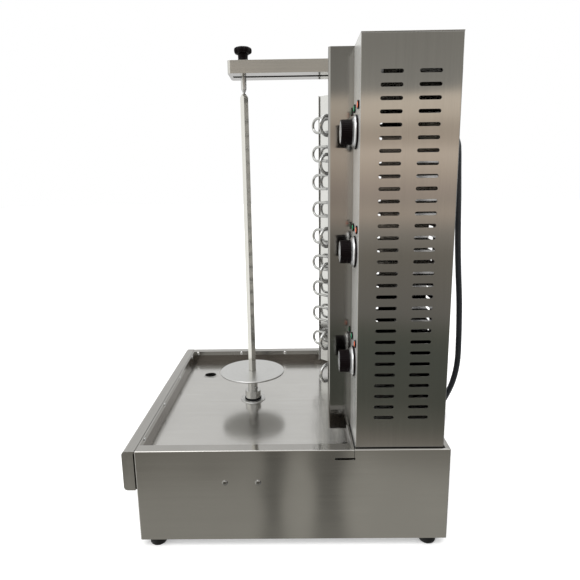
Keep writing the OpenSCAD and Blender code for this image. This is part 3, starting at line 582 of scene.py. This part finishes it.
def make_plug():
    lo, hi = low("cord_plug"), high("cord_plug")
    at = Vector(((lo.x + hi.x) / 2, lo.y, (lo.z + hi.z) / 2))
    m = placed(at, (0, 1, 0))
    bm = bmesh.new()
    sleeve = [(0.0072, 0.0)]
    for k in range(5):
        z = 0.0005 + 0.0027 * k
        r = 0.0108 + 0.0006 * k
        sleeve += [(r, z), (r + 0.0002, z + 0.0016), (r - 0.0008, z + 0.0019), (r - 0.0008, z + 0.0025)]
    sleeve += [(0.0136, 0.0142)]
    lathe(bm, sleeve, 48, m)
    nut = rounded([(0.0130, 0.0138), (0.0170, 0.0138), (0.0172, 0.0220), (0.0160, 0.0230)], 0.0008)

    def flutes(a, i):
        return 1 + 0.03 * math.cos(16 * a)

    lathe(bm, nut, 128, m, flutes)
    body = rounded([(0.0158, 0.0222), (0.0185, 0.0240), (0.0235, 0.0345), (0.0239, 0.0360), (0.0239, 0.0600),
                    (0.0228, 0.0618), (0.0228, 0.0622)], 0.0012)

    def grip(a, i):
        return 1 - 0.02 * max(0, math.cos(10 * a)) ** 2

    lathe(bm, body, 160, m, grip)
    flange = rounded([(0.0226, 0.0618), (0.0262, 0.0622), (0.0264, 0.0690), (0.0250, 0.0699),
                      (0.0232, 0.0699), (0.0228, 0.0640), (0.0, 0.0640)], 0.0007)
    lathe(bm, flange, 96, m)
    pins, pin_circle = 3, 0.012
    pin = rounded([(0.0, 0.0890), (0.0014, 0.0890), (0.0024, 0.0876), (0.0024, 0.0640)], 0.0006)
    boss = [(0.0044, 0.0640), (0.0044, 0.0652), (0.0036, 0.0657), (0.0024, 0.0657)]
    for k in range(pins):
        a = 2 * math.pi * k / pins
        at = m @ Matrix.Translation((pin_circle * math.cos(a), pin_circle * math.sin(a), 0))
        lathe(bm, pin, 24, at, material=1)
        lathe(bm, boss, 24, at)
    mesh = finish_mesh(bm, "plug_body")
    return put("plug_body", mesh, "frame", ["rubber", "brass"], ("cord_plug",))


def make_tie():
    """The strap that holds the coil together, on the side away from the crossing."""
    at = Vector((COIL.x + COIL_R, COIL.y, 0))
    outline = []
    wide, bottom, top, r = 0.0077, 0.0012, 0.0366, 0.006
    corners = ((wide - r, top - r, 0), (-wide + r, top - r, 90), (-wide + r, bottom + r, 180),
               (wide - r, bottom + r, 270))
    for cx, cz, a0 in corners:
        for k in range(5):
            a = math.radians(a0 + 22.5 * k)
            outline.append((cx + r * math.cos(a), cz + r * math.sin(a)))
    bm = bmesh.new()
    loops = []
    middle, half, lift = 0.0186, 0.018, 0.0006
    for y, grow in ((-0.009, 0.0), (-0.0085, 0.0005), (0.0085, 0.0005), (0.009, 0.0)):
        wider, taller = 1 + grow / wide, 1 + grow / half
        loops.append([
            bm.verts.new(at + Vector((x * wider, y, middle + (z - middle) * taller + lift)))
            for x, z in outline
        ])
    for a, b in zip(loops, loops[1:]):
        for k in range(len(outline)):
            j = (k + 1) % len(outline)
            bm.faces.new((a[k], a[j], b[j], b[k]))
    mesh = finish_mesh(bm, "coil_strap")
    return put("coil_strap", mesh, "frame", "rubber")


cord, cord_length = make_cord()
gland = make_gland()
plug = make_plug()
strap = make_tie()

# ---------------------------------------------------------------- sheet metal

for node, material, width in (
    ("column_front_panel", "case_v", 0.0005), ("control_panel", "panel", 0.0004),
    ("column_top", "case_x", 0.0006), ("control_shield", "shield", 0.0004),
    ("heater_casing", "panel", 0.0004),
    ("tray_floor", "tray", 0.0004), ("tray_walls", "wall", 0.0004),
    ("spit_bar", "spit", 0.0008), ("motor_beam", "zinc", 0.0008), ("gearbox", "paint", 0.0015),
    ("element_clips", "zinc", 0.0002), ("terminal_block", "cream", 0.0006), ("regulators", "block", 0.001),
):
    skin(node, material, width)


def fold_box(node, material, width, rest, sides=(-1, 1), faces="y"):
    """Rounds the outer upright corners of a sheet part, and its top edges."""
    lo, hi = low(node), high(node)

    def chosen(e):
        for side in sides:
            y = lo.y if side < 0 else hi.y
            if any(along(e, x=x, y=y) for x in (lo.x, hi.x)) or along(e, y=y, z=hi.z):
                return True
        return faces == "xy" and any(along(e, x=x, z=hi.z) for x in (lo.x, hi.x))

    return folded(node, material, width, chosen, rest)


# The reflector is darker on its flat middle between its wings
for face in skin("reflector", ["reflector", "reflector_darker_middle"], 0.0004).data.polygons:
    if abs(face.normal.x) > 0.98:
        face.material_index = 1

fold_box("base_shell", "case_h", 0.0022, 0.0004, faces="xy")
fold_box("column_near_panel", "case_v", 0.00135, 0.0003, sides=(-1,))
fold_box("column_far_panel", "case_v", 0.00135, 0.0003, sides=(1,))
fold_box("column_back_panel", "case_v", 0.0003, 0.0003)
skin("front_bumper", "bumper", 0.0008)
skin("top_arm", "arm", 0.0012, 3)

for node, material in (
    ("base_floor", "zinc"), ("bumper_screws", "zinc"),
    ("drain_spout", "tray"), ("foot_screws", "zinc"), ("motor_can", "paint"), ("hub_flange", "disc"),
    ("hub_bearing", "mirror"), ("hub_seal", "rubber"), ("drive_spindle", "mirror"), ("disc_sleeve", "mirror"),
    ("sleeve_screw", "zinc"), ("spit_disc", "disc"), ("back_screws", "zinc"), ("insulation", "wool"),
    ("arm_bolts", "bright"), ("arm_nut", "zinc"), ("top_pin", "disc"),
    ("dial_spindle_top", "zinc"), ("dial_spindle_middle", "zinc"), ("dial_spindle_bottom", "zinc"),
    ("element_bushes", "brass"),
):
    keep(node, material)

# ---------------------------------------------------------------- heating elements

TUBE_R = 0.0035
# Each element has level runs in one upright plane, which bend forward at 45 degrees along both wings
RUNS = 6
RUN_X = 0.116
RUN_Y = 0.166
PITCH_Z = 0.0375
HALF_Z = (RUNS - 1) / 2 * PITCH_Z
ELBOW = 0.020
# Sine and cosine of 45 degrees
H = math.sqrt(0.5)
# Two runs meet in a round loop of the radius LOOP, whose tip is FLARE along the wing
LOOP = PITCH_Z / 2
FLARE = 0.040 * math.sqrt(2)
# The ends bend out through the near wing, each in a bead
TERM_U = 0.026
TERM_R = 0.009
TERM_LEN = 0.027
BEAD_OUT = 0.0062
WING_OUT = Vector((H, -H, 0))


def flare(side, u, z):
    """The point at the distance u along a wing."""
    return Vector((RUN_X - u * H, side * (RUN_Y + u * H), z))


def elbow(side, z):
    cut = ELBOW * math.tan(math.radians(45 / 2))
    return [
        Vector((RUN_X - ELBOW * (1 - math.cos(a)), side * (RUN_Y - cut + ELBOW * math.sin(a)), z))
        for a in (math.radians(d) for d in range(0, 46, 5))
    ]


def half_turn(side, z):
    return [
        flare(side, FLARE - LOOP + LOOP * math.cos(a), z + LOOP * math.sin(a))
        for a in (math.radians(d) for d in range(90, -91, -10))
    ]


def terminal(z):
    bend = [
        flare(-1, TERM_U + TERM_R * math.sin(a), z) + TERM_R * (1 - math.cos(a)) * WING_OUT
        for a in (math.radians(d) for d in range(0, 91, 10))
    ]
    return bend + [flare(-1, TERM_U + TERM_R, z) + TERM_LEN * WING_OUT]


def element_points(z_mid):
    z = [z_mid + HALF_Z - k * PITCH_Z for k in range(RUNS)]
    out = terminal(z[0])[::-1] + elbow(-1, z[0])[::-1]
    side = 1
    for upper, lower in zip(z, z[1:]):
        out += elbow(side, upper) + half_turn(side, (upper + lower) / 2) + elbow(side, lower)[::-1]
        side = -side
    return out + elbow(side, z[-1]) + terminal(z[-1])


def make_elements():
    bead = rounded([(0.0036, 0.0), (0.0062, 0.0), (0.0062, 0.0052), (0.0036, 0.0052)], 0.0009)
    for level in LEVELS:
        node = "element_" + level
        z_mid = centre(node).z
        pts = element_points(z_mid)
        clean = [pts[0]]
        for p in pts[1:]:
            if (p - clean[-1]).length > 1e-5:
                clean.append(p)
        mesh = tube_mesh(clean, TUBE_R, node + "_tube", 20)
        put(node + "_tube", mesh, "frame", "tube", (node,))
        bm = bmesh.new()
        for z in (z_mid - HALF_Z, z_mid + HALF_Z):
            at = flare(-1, TERM_U + TERM_R, z)
            lathe(bm, bead, 40, placed(at + BEAD_OUT * WING_OUT, WING_OUT))
        mesh = finish_mesh(bm, node + "_beads")
        put(node + "_beads", mesh, "frame", "ceramic")


make_elements()

# ---------------------------------------------------------------- feet

FOOT_R = 0.0175


def make_feet():
    lo, hi = low("feet"), high("feet")
    bm = bmesh.new()
    profile = rounded([
        (0.0072, 0.005), (0.0072, 0.0), (0.0148, 0.0), (0.0166, 0.0018), (0.0174, 0.0060), (0.0174, 0.0118),
        (0.0174, 0.0130), (0.0166, 0.0136), (0.0166, 0.0142), (0.0174, 0.0148), (0.0174, 0.016),
        (0.004, 0.016),
    ], 0.0008)
    for x in (lo.x + FOOT_R, hi.x - FOOT_R):
        for y in (lo.y + FOOT_R, hi.y - FOOT_R):
            lathe(bm, profile, 56, Matrix.Translation((x, y, 0)))
    put("rubber_feet", finish_mesh(bm, "rubber_feet"), "frame", "rubber", ("feet",))


make_feet()

# ---------------------------------------------------------------- screws of the base

SCREW_LEN = 0.003


def cross(a, i):
    """The radius share of a four-armed recess."""
    return 0.34 + 0.66 * abs(math.cos(2 * a)) ** 6


def screw_head(bm, matrix, head_r, head_h, shank_r):
    """A wide domed head with a cross recess coloured black as painted shade, on a thin black ring that paints
    the shadow gap round the head.
    """
    sides = 64
    head = [(0.0, -SCREW_LEN), (shank_r, -SCREW_LEN), (shank_r, 0.0), (head_r, 0.0002),
            (head_r, head_h * 0.4), (head_r * 0.95, head_h * 0.65), (head_r * 0.82, head_h * 0.85),
            (head_r * 0.68, head_h), (head_r * 0.62, head_h)]
    recess = [(head_r * 0.62, head_h), (head_r * 0.56, head_h * 0.5), (head_r * 0.3, head_h * 0.3),
              (0.0, head_h * 0.3)]
    shadow_gap_ring = [(shank_r, 0.0003), (head_r * 1.14, 0.0003), (head_r * 1.16, 0.0), (shank_r, 0.0)]

    def rim(a, i):
        return cross(a, i) if i == len(head) - 1 else 1

    lathe(bm, head, sides, matrix, rim)
    # Slot 1, black, on the recess faces and on the thin ring is painted shade in the recess and painted
    # shadow round the head
    lathe(bm, recess, sides, matrix, cross, 1)
    lathe(bm, shadow_gap_ring, sides, matrix, None, 1)


def make_side_screws():
    lo, hi = low("side_screws"), high("side_screws")
    head_r, head_h = 0.0055, 0.0025
    bm = bmesh.new()
    for x in (lo.x + head_r, hi.x - head_r):
        for y, side in ((lo.y + head_h, -1), (hi.y - head_h, 1)):
            screw_head(bm, placed((x, y, (lo.z + hi.z) / 2), (0, side, 0)), head_r, head_h, 0.004)
    # Slot 1 (rubber black) is painted shade in the recesses and painted shadow round the heads
    put("side_screw_heads", finish_mesh(bm, "side_screw_heads"), "frame", ["dark_zinc", "rubber"],
        ("side_screws",))


def make_tray_screws():
    """Four along each side of the tray and four along its front."""
    lo, hi = low("tray_screws"), high("tray_screws")
    head_r, head_h, shank_r = 0.0045, 0.002, 0.0022
    side_pitch, front_pitch = 0.139, 0.1755
    z = (lo.z + hi.z) / 2
    bm = bmesh.new()
    for k in range(4):
        x = hi.x - head_r - side_pitch * k
        for y, side in ((lo.y + SCREW_LEN, 1), (hi.y - SCREW_LEN, -1)):
            screw_head(bm, placed((x, y, z), (0, side, 0)), head_r, head_h, shank_r)
        y = front_pitch * (k - 1.5)
        screw_head(bm, placed((low("tray_walls").x + SCREW_LEN, y, z), (1, 0, 0)), head_r, head_h, shank_r)
    # Slot 1 (rubber black) is painted shade in the recesses and painted shadow round the heads
    put("tray_screw_heads", finish_mesh(bm, "tray_screw_heads"), "frame", ["bright", "rubber"],
        ("tray_screws",))


make_side_screws()
make_tray_screws()

# ---------------------------------------------------------------- star knob


def make_star():
    lo, hi = low("star_knob"), high("star_knob")
    lobes, lobe_depth, knob_h = 7, 0.155, 0.016
    lobe_shares = (0.0, 0.55, 0.9, 1.0, 1.0, 1.0, 0.9, 0.5, 0.0, 0.0, 0.0, 0.0)
    knob_low = hi.z - knob_h
    m = Matrix.Translation((SPIT.x, SPIT.y, 0))
    bm = bmesh.new()

    def star(a, i):
        return 1 - lobe_shares[i] * lobe_depth * (1 - abs(math.cos(lobes * a / 2)) ** 0.7)

    head = [
        (0.0125, knob_low), (0.0160, knob_low + 0.0008), (0.0192, knob_low + 0.0022),
        (0.0205, knob_low + 0.0045), (0.0208, knob_low + 0.0080), (0.0204, knob_low + 0.0112),
        (0.0190, knob_low + 0.0134), (0.0160, knob_low + 0.0150), (0.0120, knob_low + 0.0157),
        (0.0100, knob_low + 0.0159), (0.0090, knob_low + 0.0152), (0.0, knob_low + 0.0150),
    ]
    lathe(bm, head, 140, m, star)
    neck = rounded([(0.0068, lo.z), (0.0112, lo.z), (0.0120, lo.z + 0.0008), (0.0120, lo.z + 0.0060),
                    (0.0112, lo.z + 0.0120), (0.0118, knob_low + 0.0002)], 0.0008)
    lathe(bm, neck, 64, m)
    put("star_grip", finish_mesh(bm, "star_grip"), "star", "black", ("star_knob",))


make_star()

# ---------------------------------------------------------------- dials and lamps

PANEL_X = low("control_panel").x


def make_scale(name, at, body):
    """Fine marks on the scale ring, every fourth one longer."""
    m = placed(at, (-1, 0, 0))
    inner = Vector((0.0245, 0.0092))
    outer = Vector((0.0303, 0.0034))
    up = (outer - inner).orthogonal().normalized()
    up = up if up.y > 0 else -up
    bm = bmesh.new()
    marks, sweep = 41, 300
    for k in range(marks):
        a = math.radians(-sweep / 2 + sweep * k / (marks - 1))
        long = k % 4 == 0
        s, e = (0.36, 0.95) if long else (0.62, 0.95)
        half = 0.0006 if long else 0.0004
        corners = []
        for share, w in ((1 - s, -half), (1 - s, half), (1 - e, half), (1 - e, -half)):
            p = inner.lerp(outer, share)
            for lift in (0.00012, -0.0003):
                q = p + up * lift
                x = q.x * math.cos(a) - w * math.sin(a)
                y = q.x * math.sin(a) + w * math.cos(a)
                corners.append(bm.verts.new(m @ Vector((x, y, q.y))))
        top, bottom = corners[0::2], corners[1::2]
        bm.faces.new(top)
        bm.faces.new(bottom[::-1])
        for i in range(4):
            j = (i + 1) % 4
            bm.faces.new((top[i], bottom[i], bottom[j], top[j]))
    put(name, finish_mesh(bm, name), body, "black", (), False)


def make_dial(level):
    z = centre("dial_knob_" + level).z
    y = centre("dial_knob_" + level).y
    x = high("dial_knob_" + level).x
    at = Vector((x, y, z))
    m = placed(at, (-1, 0, 0))
    body = "dial_" + level
    bm = bmesh.new()
    grip_from, flute_count, flute_depth = 7, 36, 0.022

    def flutes(a, i):
        depth = flute_depth if grip_from <= i <= grip_from + 3 else 0
        return 1 - depth * (0.5 - 0.5 * math.cos(flute_count * a))

    profile = [
        (0.0032, 0.0002), (0.0300, 0.0002), (0.0312, 0.0006), (0.0314, 0.0020), (0.0300, 0.0031),
        (0.0245, 0.0088), (0.0233, 0.0096), (0.0228, 0.0110), (0.0229, 0.0140), (0.0227, 0.0250),
        (0.0225, 0.0285), (0.0220, 0.0298), (0.0212, 0.0304), (0.0208, 0.0300), (0.0, 0.0300),
    ]
    lathe(bm, profile, 216, m, flutes)
    put("dial_grip_" + level, finish_mesh(bm, "dial_grip_" + level), body, "black",
        ("dial_knob_" + level,))
    bm = bmesh.new()
    face = [(0.0, 0.0302), (0.0040, 0.0302), (0.0045, 0.0305), (0.0180, 0.0307), (0.0196, 0.0304),
            (0.0206, 0.0300), (0.0206, 0.0296), (0.0, 0.0296)]
    lathe(bm, face, 96, m)
    ring = [(0.0246, 0.0090), (0.0249, 0.0095), (0.0304, 0.0037), (0.0301, 0.0031), (0.0246, 0.0090)]
    lathe(bm, ring, 96, m, material=1)
    put("dial_face_" + level, finish_mesh(bm, "dial_face_" + level), body, [spun(at), "dark_zinc"],
        ("dial_trim_" + level,))
    make_scale("dial_marks_" + level, at, body)


def spun(at):
    """Spun aluminium: rings round an axis along X through the point at."""
    g = Graph("spun_" + str(round(at.z * 1000)))
    tex = g.add("ShaderNodeTexCoord")
    sep = g.add("ShaderNodeSeparateXYZ")
    g.link(tex.outputs["Object"], sep.inputs[0])
    dy = g.math("SUBTRACT", sep.outputs[1], at.y)
    dz = g.math("SUBTRACT", sep.outputs[2], at.z)
    radius = g.math("SQRT", g.math("ADD", g.math("MULTIPLY", dy, dy), g.math("MULTIPLY", dz, dz)))
    comb = g.add("ShaderNodeCombineXYZ")
    g.link(g.math("MULTIPLY", radius, 1800), comb.inputs[0])
    rings = g.noise(comb.outputs[0], 1, 2, 0.5)
    tone = g.mix(g.ranged(rings, 0.3, 0.7, 0, 1), (0.60, 0.61, 0.62), (0.72, 0.73, 0.74))
    g.set(Base_Color=tone, Metallic=0.8, Roughness=g.ranged(rings, 0.3, 0.7, 0.2, 0.32))
    g.bump(rings, 0.15, 0.0002)
    return g.material


for level in LEVELS:
    make_dial(level)


LAMP_UP = 0.045


def make_lamps(node, hue):
    """One lens and one rim over each dial."""
    lens_bm = bmesh.new()
    rim_bm = bmesh.new()
    y = centre(node).y
    for level in LEVELS:
        z = centre("dial_knob_" + level).z + LAMP_UP
        m = placed((PANEL_X, y, z), (-1, 0, 0))
        rim = rounded([(0.0060, 0.0002), (0.0078, 0.0002), (0.0080, 0.0008), (0.0079, 0.0022),
                       (0.0072, 0.0030), (0.0064, 0.0028), (0.0061, 0.0016)], 0.0003)
        lathe(rim_bm, rim, 48, m)
        body = [(0.0, -0.0195), (0.0055, -0.0195), (0.0058, -0.0190), (0.0058, 0.0)]
        lathe(rim_bm, body, 32, m)
        dome = [(0.0063, 0.0010)]
        for a in range(0, 90, 12):
            dome.append((0.0063 * math.cos(math.radians(a)), 0.0018 + 0.0021 * math.sin(math.radians(a))))
        dome.append((0.0, 0.0039))
        lathe(lens_bm, dome, 48, m)
    put(node + "_lens", finish_mesh(lens_bm, node + "_lens"), "frame", hue, (node,))
    put(node + "_rim", finish_mesh(rim_bm, node + "_rim"), "frame", "black")


make_lamps("red_lamps", "red")
make_lamps("green_lamps", "green")

# ---------------------------------------------------------------- floor, world and lights


def make_stage():
    bm = bmesh.new()
    x0, x1, y0, y1 = -9, 9, -9, 16
    verts = [bm.verts.new(v) for v in ((x0, y0, 0), (x1, y0, 0), (x1, y1, 0), (x0, y1, 0))]
    bm.faces.new(verts)
    mesh = finish_mesh(bm, "floor")
    floor = bpy.data.objects.new("floor", mesh)
    SCENE.collection.objects.link(floor)
    g = Graph("floor")
    cloud = g.noise(g.place(), 1.2, 2, 0.5)
    g.set(Base_Color=g.mix(cloud, (0.84, 0.84, 0.84), (0.88, 0.88, 0.88)), Roughness=0.8)
    g.bsdf.inputs["Emission Color"].default_value = (1, 1, 1, 1)
    g.bsdf.inputs["Emission Strength"].default_value = 0.3
    path = g.add("ShaderNodeLightPath")
    clear = g.add("ShaderNodeBsdfTransparent")
    choose = g.add("ShaderNodeMixShader")
    g.link(path.outputs["Is Camera Ray"], choose.inputs[0])
    g.link(clear.outputs[0], choose.inputs[1])
    g.link(g.bsdf.outputs[0], choose.inputs[2])
    g.link(choose.outputs[0], g.out.inputs["Surface"])
    mesh.materials.append(g.material)


# What the sheet metal mirrors in front of the machine: (sine of the elevation, colour)
ROOM = (
    (-1.0, (0.40, 0.39, 0.36)), (-0.56, (0.45, 0.44, 0.40)), (-0.505, (0.40, 0.39, 0.355)),
    (-0.465, (0.27, 0.25, 0.22)), (-0.44, (0.18, 0.18, 0.155)), (-0.40, (0.125, 0.13, 0.11)),
    (-0.32, (0.125, 0.135, 0.115)), (-0.285, (0.15, 0.155, 0.13)), (-0.25, (0.24, 0.23, 0.21)),
    (-0.14, (0.28, 0.26, 0.225)), (-0.10, (0.40, 0.37, 0.33)), (-0.064, (0.68, 0.58, 0.49)),
    (-0.042, (0.58, 0.50, 0.43)), (-0.02, (0.63, 0.53, 0.46)), (0.013, (0.80, 0.68, 0.57)),
    (0.050, (1.0, 0.86, 0.73)), (0.066, (0.72, 0.61, 0.51)), (0.092, (0.70, 0.60, 0.50)),
    (0.108, (0.94, 0.82, 0.69)), (0.140, (1.04, 0.92, 0.78)), (0.152, (0.42, 0.41, 0.38)),
    (0.24, (0.37, 0.36, 0.33)), (0.35, (0.5, 0.5, 0.48)), (0.6, (1.0, 1.0, 1.0)), (1.0, (1.4, 1.4, 1.4)),
)
# What it mirrors beside and behind the machine
SURROUND = (
    (-1.0, (0.5, 0.5, 0.5)), (-0.3, (0.6, 0.6, 0.6)), (0.0, (0.95, 0.95, 0.95)), (0.12, (0.95, 0.95, 0.95)),
    (0.22, (0.78, 0.78, 0.77)), (0.5, (0.80, 0.80, 0.79)), (1.0, (1.4, 1.4, 1.4)),
)
# Upright soft bands low down: (tangent of the bearing, factor)
BANDS = (
    (-0.5, 1.0), (-0.16, 1.0), (-0.105, 1.04), (-0.082, 0.95), (-0.06, 0.36), (-0.035, 0.4), (-0.012, 1.1),
    (0.012, 1.26), (0.032, 1.15), (0.05, 0.42), (0.085, 0.38), (0.105, 0.95), (0.125, 1.2), (0.5, 1.12),
)
# A window on the left and a dark corner on the right, which draw the bent edges
WINDOW = (1.12, 1.12, 1.08, 1)
SHADOW = (0.18, 0.18, 0.18, 1)


def make_world():
    world = bpy.data.worlds.new("studio")
    SCENE.world = world
    world.use_nodes = True
    tree = world.node_tree
    tree.nodes.clear()
    add = tree.nodes.new
    link = tree.links.new

    def ranged(source, low_in, high_in):
        n = add("ShaderNodeMapRange")
        n.inputs["From Min"].default_value = low_in
        n.inputs["From Max"].default_value = high_in
        link(source, n.inputs["Value"])
        return n.outputs[0]

    def ramp(source, stops, low_in, high_in):
        n = add("ShaderNodeValToRGB")
        while len(n.color_ramp.elements) < len(stops):
            n.color_ramp.elements.new(0.5)
        for e, (at, c) in zip(n.color_ramp.elements, stops):
            e.position = (at - low_in) / (high_in - low_in)
            e.color = (*c, 1) if isinstance(c, tuple) else (c, c, c, 1)
        link(ranged(source, low_in, high_in), n.inputs[0])
        return n.outputs[0]

    def maths(op, a, b):
        n = add("ShaderNodeMath")
        n.operation = op
        for socket, value in zip(n.inputs, (a, b)):
            if isinstance(value, bpy.types.NodeSocket):
                link(value, socket)
            else:
                socket.default_value = value
        return n.outputs[0]

    def mix(factor, a, b, kind="MIX"):
        n = add("ShaderNodeMix")
        n.data_type = "RGBA"
        n.blend_type = kind
        for socket, value in ((n.inputs[0], factor), (n.inputs[6], a), (n.inputs[7], b)):
            if isinstance(value, bpy.types.NodeSocket):
                link(value, socket)
            else:
                socket.default_value = value
        return n.outputs[2]

    tex = add("ShaderNodeTexCoord")
    sep = add("ShaderNodeSeparateXYZ")
    link(tex.outputs["Generated"], sep.inputs[0])
    x, y, z = sep.outputs
    ahead = maths("MULTIPLY", y, -1)
    bearing = maths("DIVIDE", x, maths("MAXIMUM", ahead, 0.05))
    bands = ramp(bearing, BANDS, -0.5, 0.5)
    bands = mix(ranged(z, -0.49, -0.45), bands, (1, 1, 1, 1))
    bands = mix(ranged(z, -0.5, -0.8), bands, (1, 1, 1, 1))
    room = mix(1.0, ramp(z, ROOM, -1, 1), bands, "MULTIPLY")
    sector = maths("SUBTRACT", ahead, maths("MULTIPLY", maths("ABSOLUTE", x, 0), 1.3))
    colour = mix(ranged(sector, -0.2, 0.3), ramp(z, SURROUND, -1, 1), room)
    window = maths("MULTIPLY", ranged(x, -0.5, -0.62), ranged(ahead, -0.35, -0.2))
    colour = mix(window, colour, WINDOW)
    shadow = maths("MULTIPLY", ranged(x, 0.55, 0.65), ranged(ahead, 0.05, 0.2))
    colour = mix(shadow, colour, SHADOW)
    light = add("ShaderNodeBackground")
    link(colour, light.inputs["Color"])
    plain = add("ShaderNodeBackground")
    plain.inputs["Color"].default_value = (1, 1, 1, 1)
    path = add("ShaderNodeLightPath")
    choose = add("ShaderNodeMixShader")
    link(path.outputs["Is Camera Ray"], choose.inputs[0])
    link(light.outputs[0], choose.inputs[1])
    link(plain.outputs[0], choose.inputs[2])
    link(choose.outputs[0], add("ShaderNodeOutputWorld").inputs[0])


def area_light(name, at, towards, size, power):
    data = bpy.data.lights.new(name, "AREA")
    data.shape = "RECTANGLE"
    data.size, data.size_y = size
    data.energy = power
    obj = bpy.data.objects.new(name, data)
    SCENE.collection.objects.link(obj)
    obj.location = at
    obj.rotation_mode = "QUATERNION"
    obj.rotation_quaternion = (Vector(towards) - Vector(at)).to_track_quat("-Z", "Y")


make_stage()
make_world()
area_light("key", (-1.2, -1.6, 2.6), (0, 0, 0.4), (1.6, 1.6), 24)
area_light("fill", (1.8, -0.6, 1.8), (0, 0, 0.5), (1.2, 1.2), 8)
area_light("top", (0.2, 0.8, 2.8), (0, 0, 0.3), (2.2, 1.6), 12)
SCENE.view_settings.view_transform = "Standard"
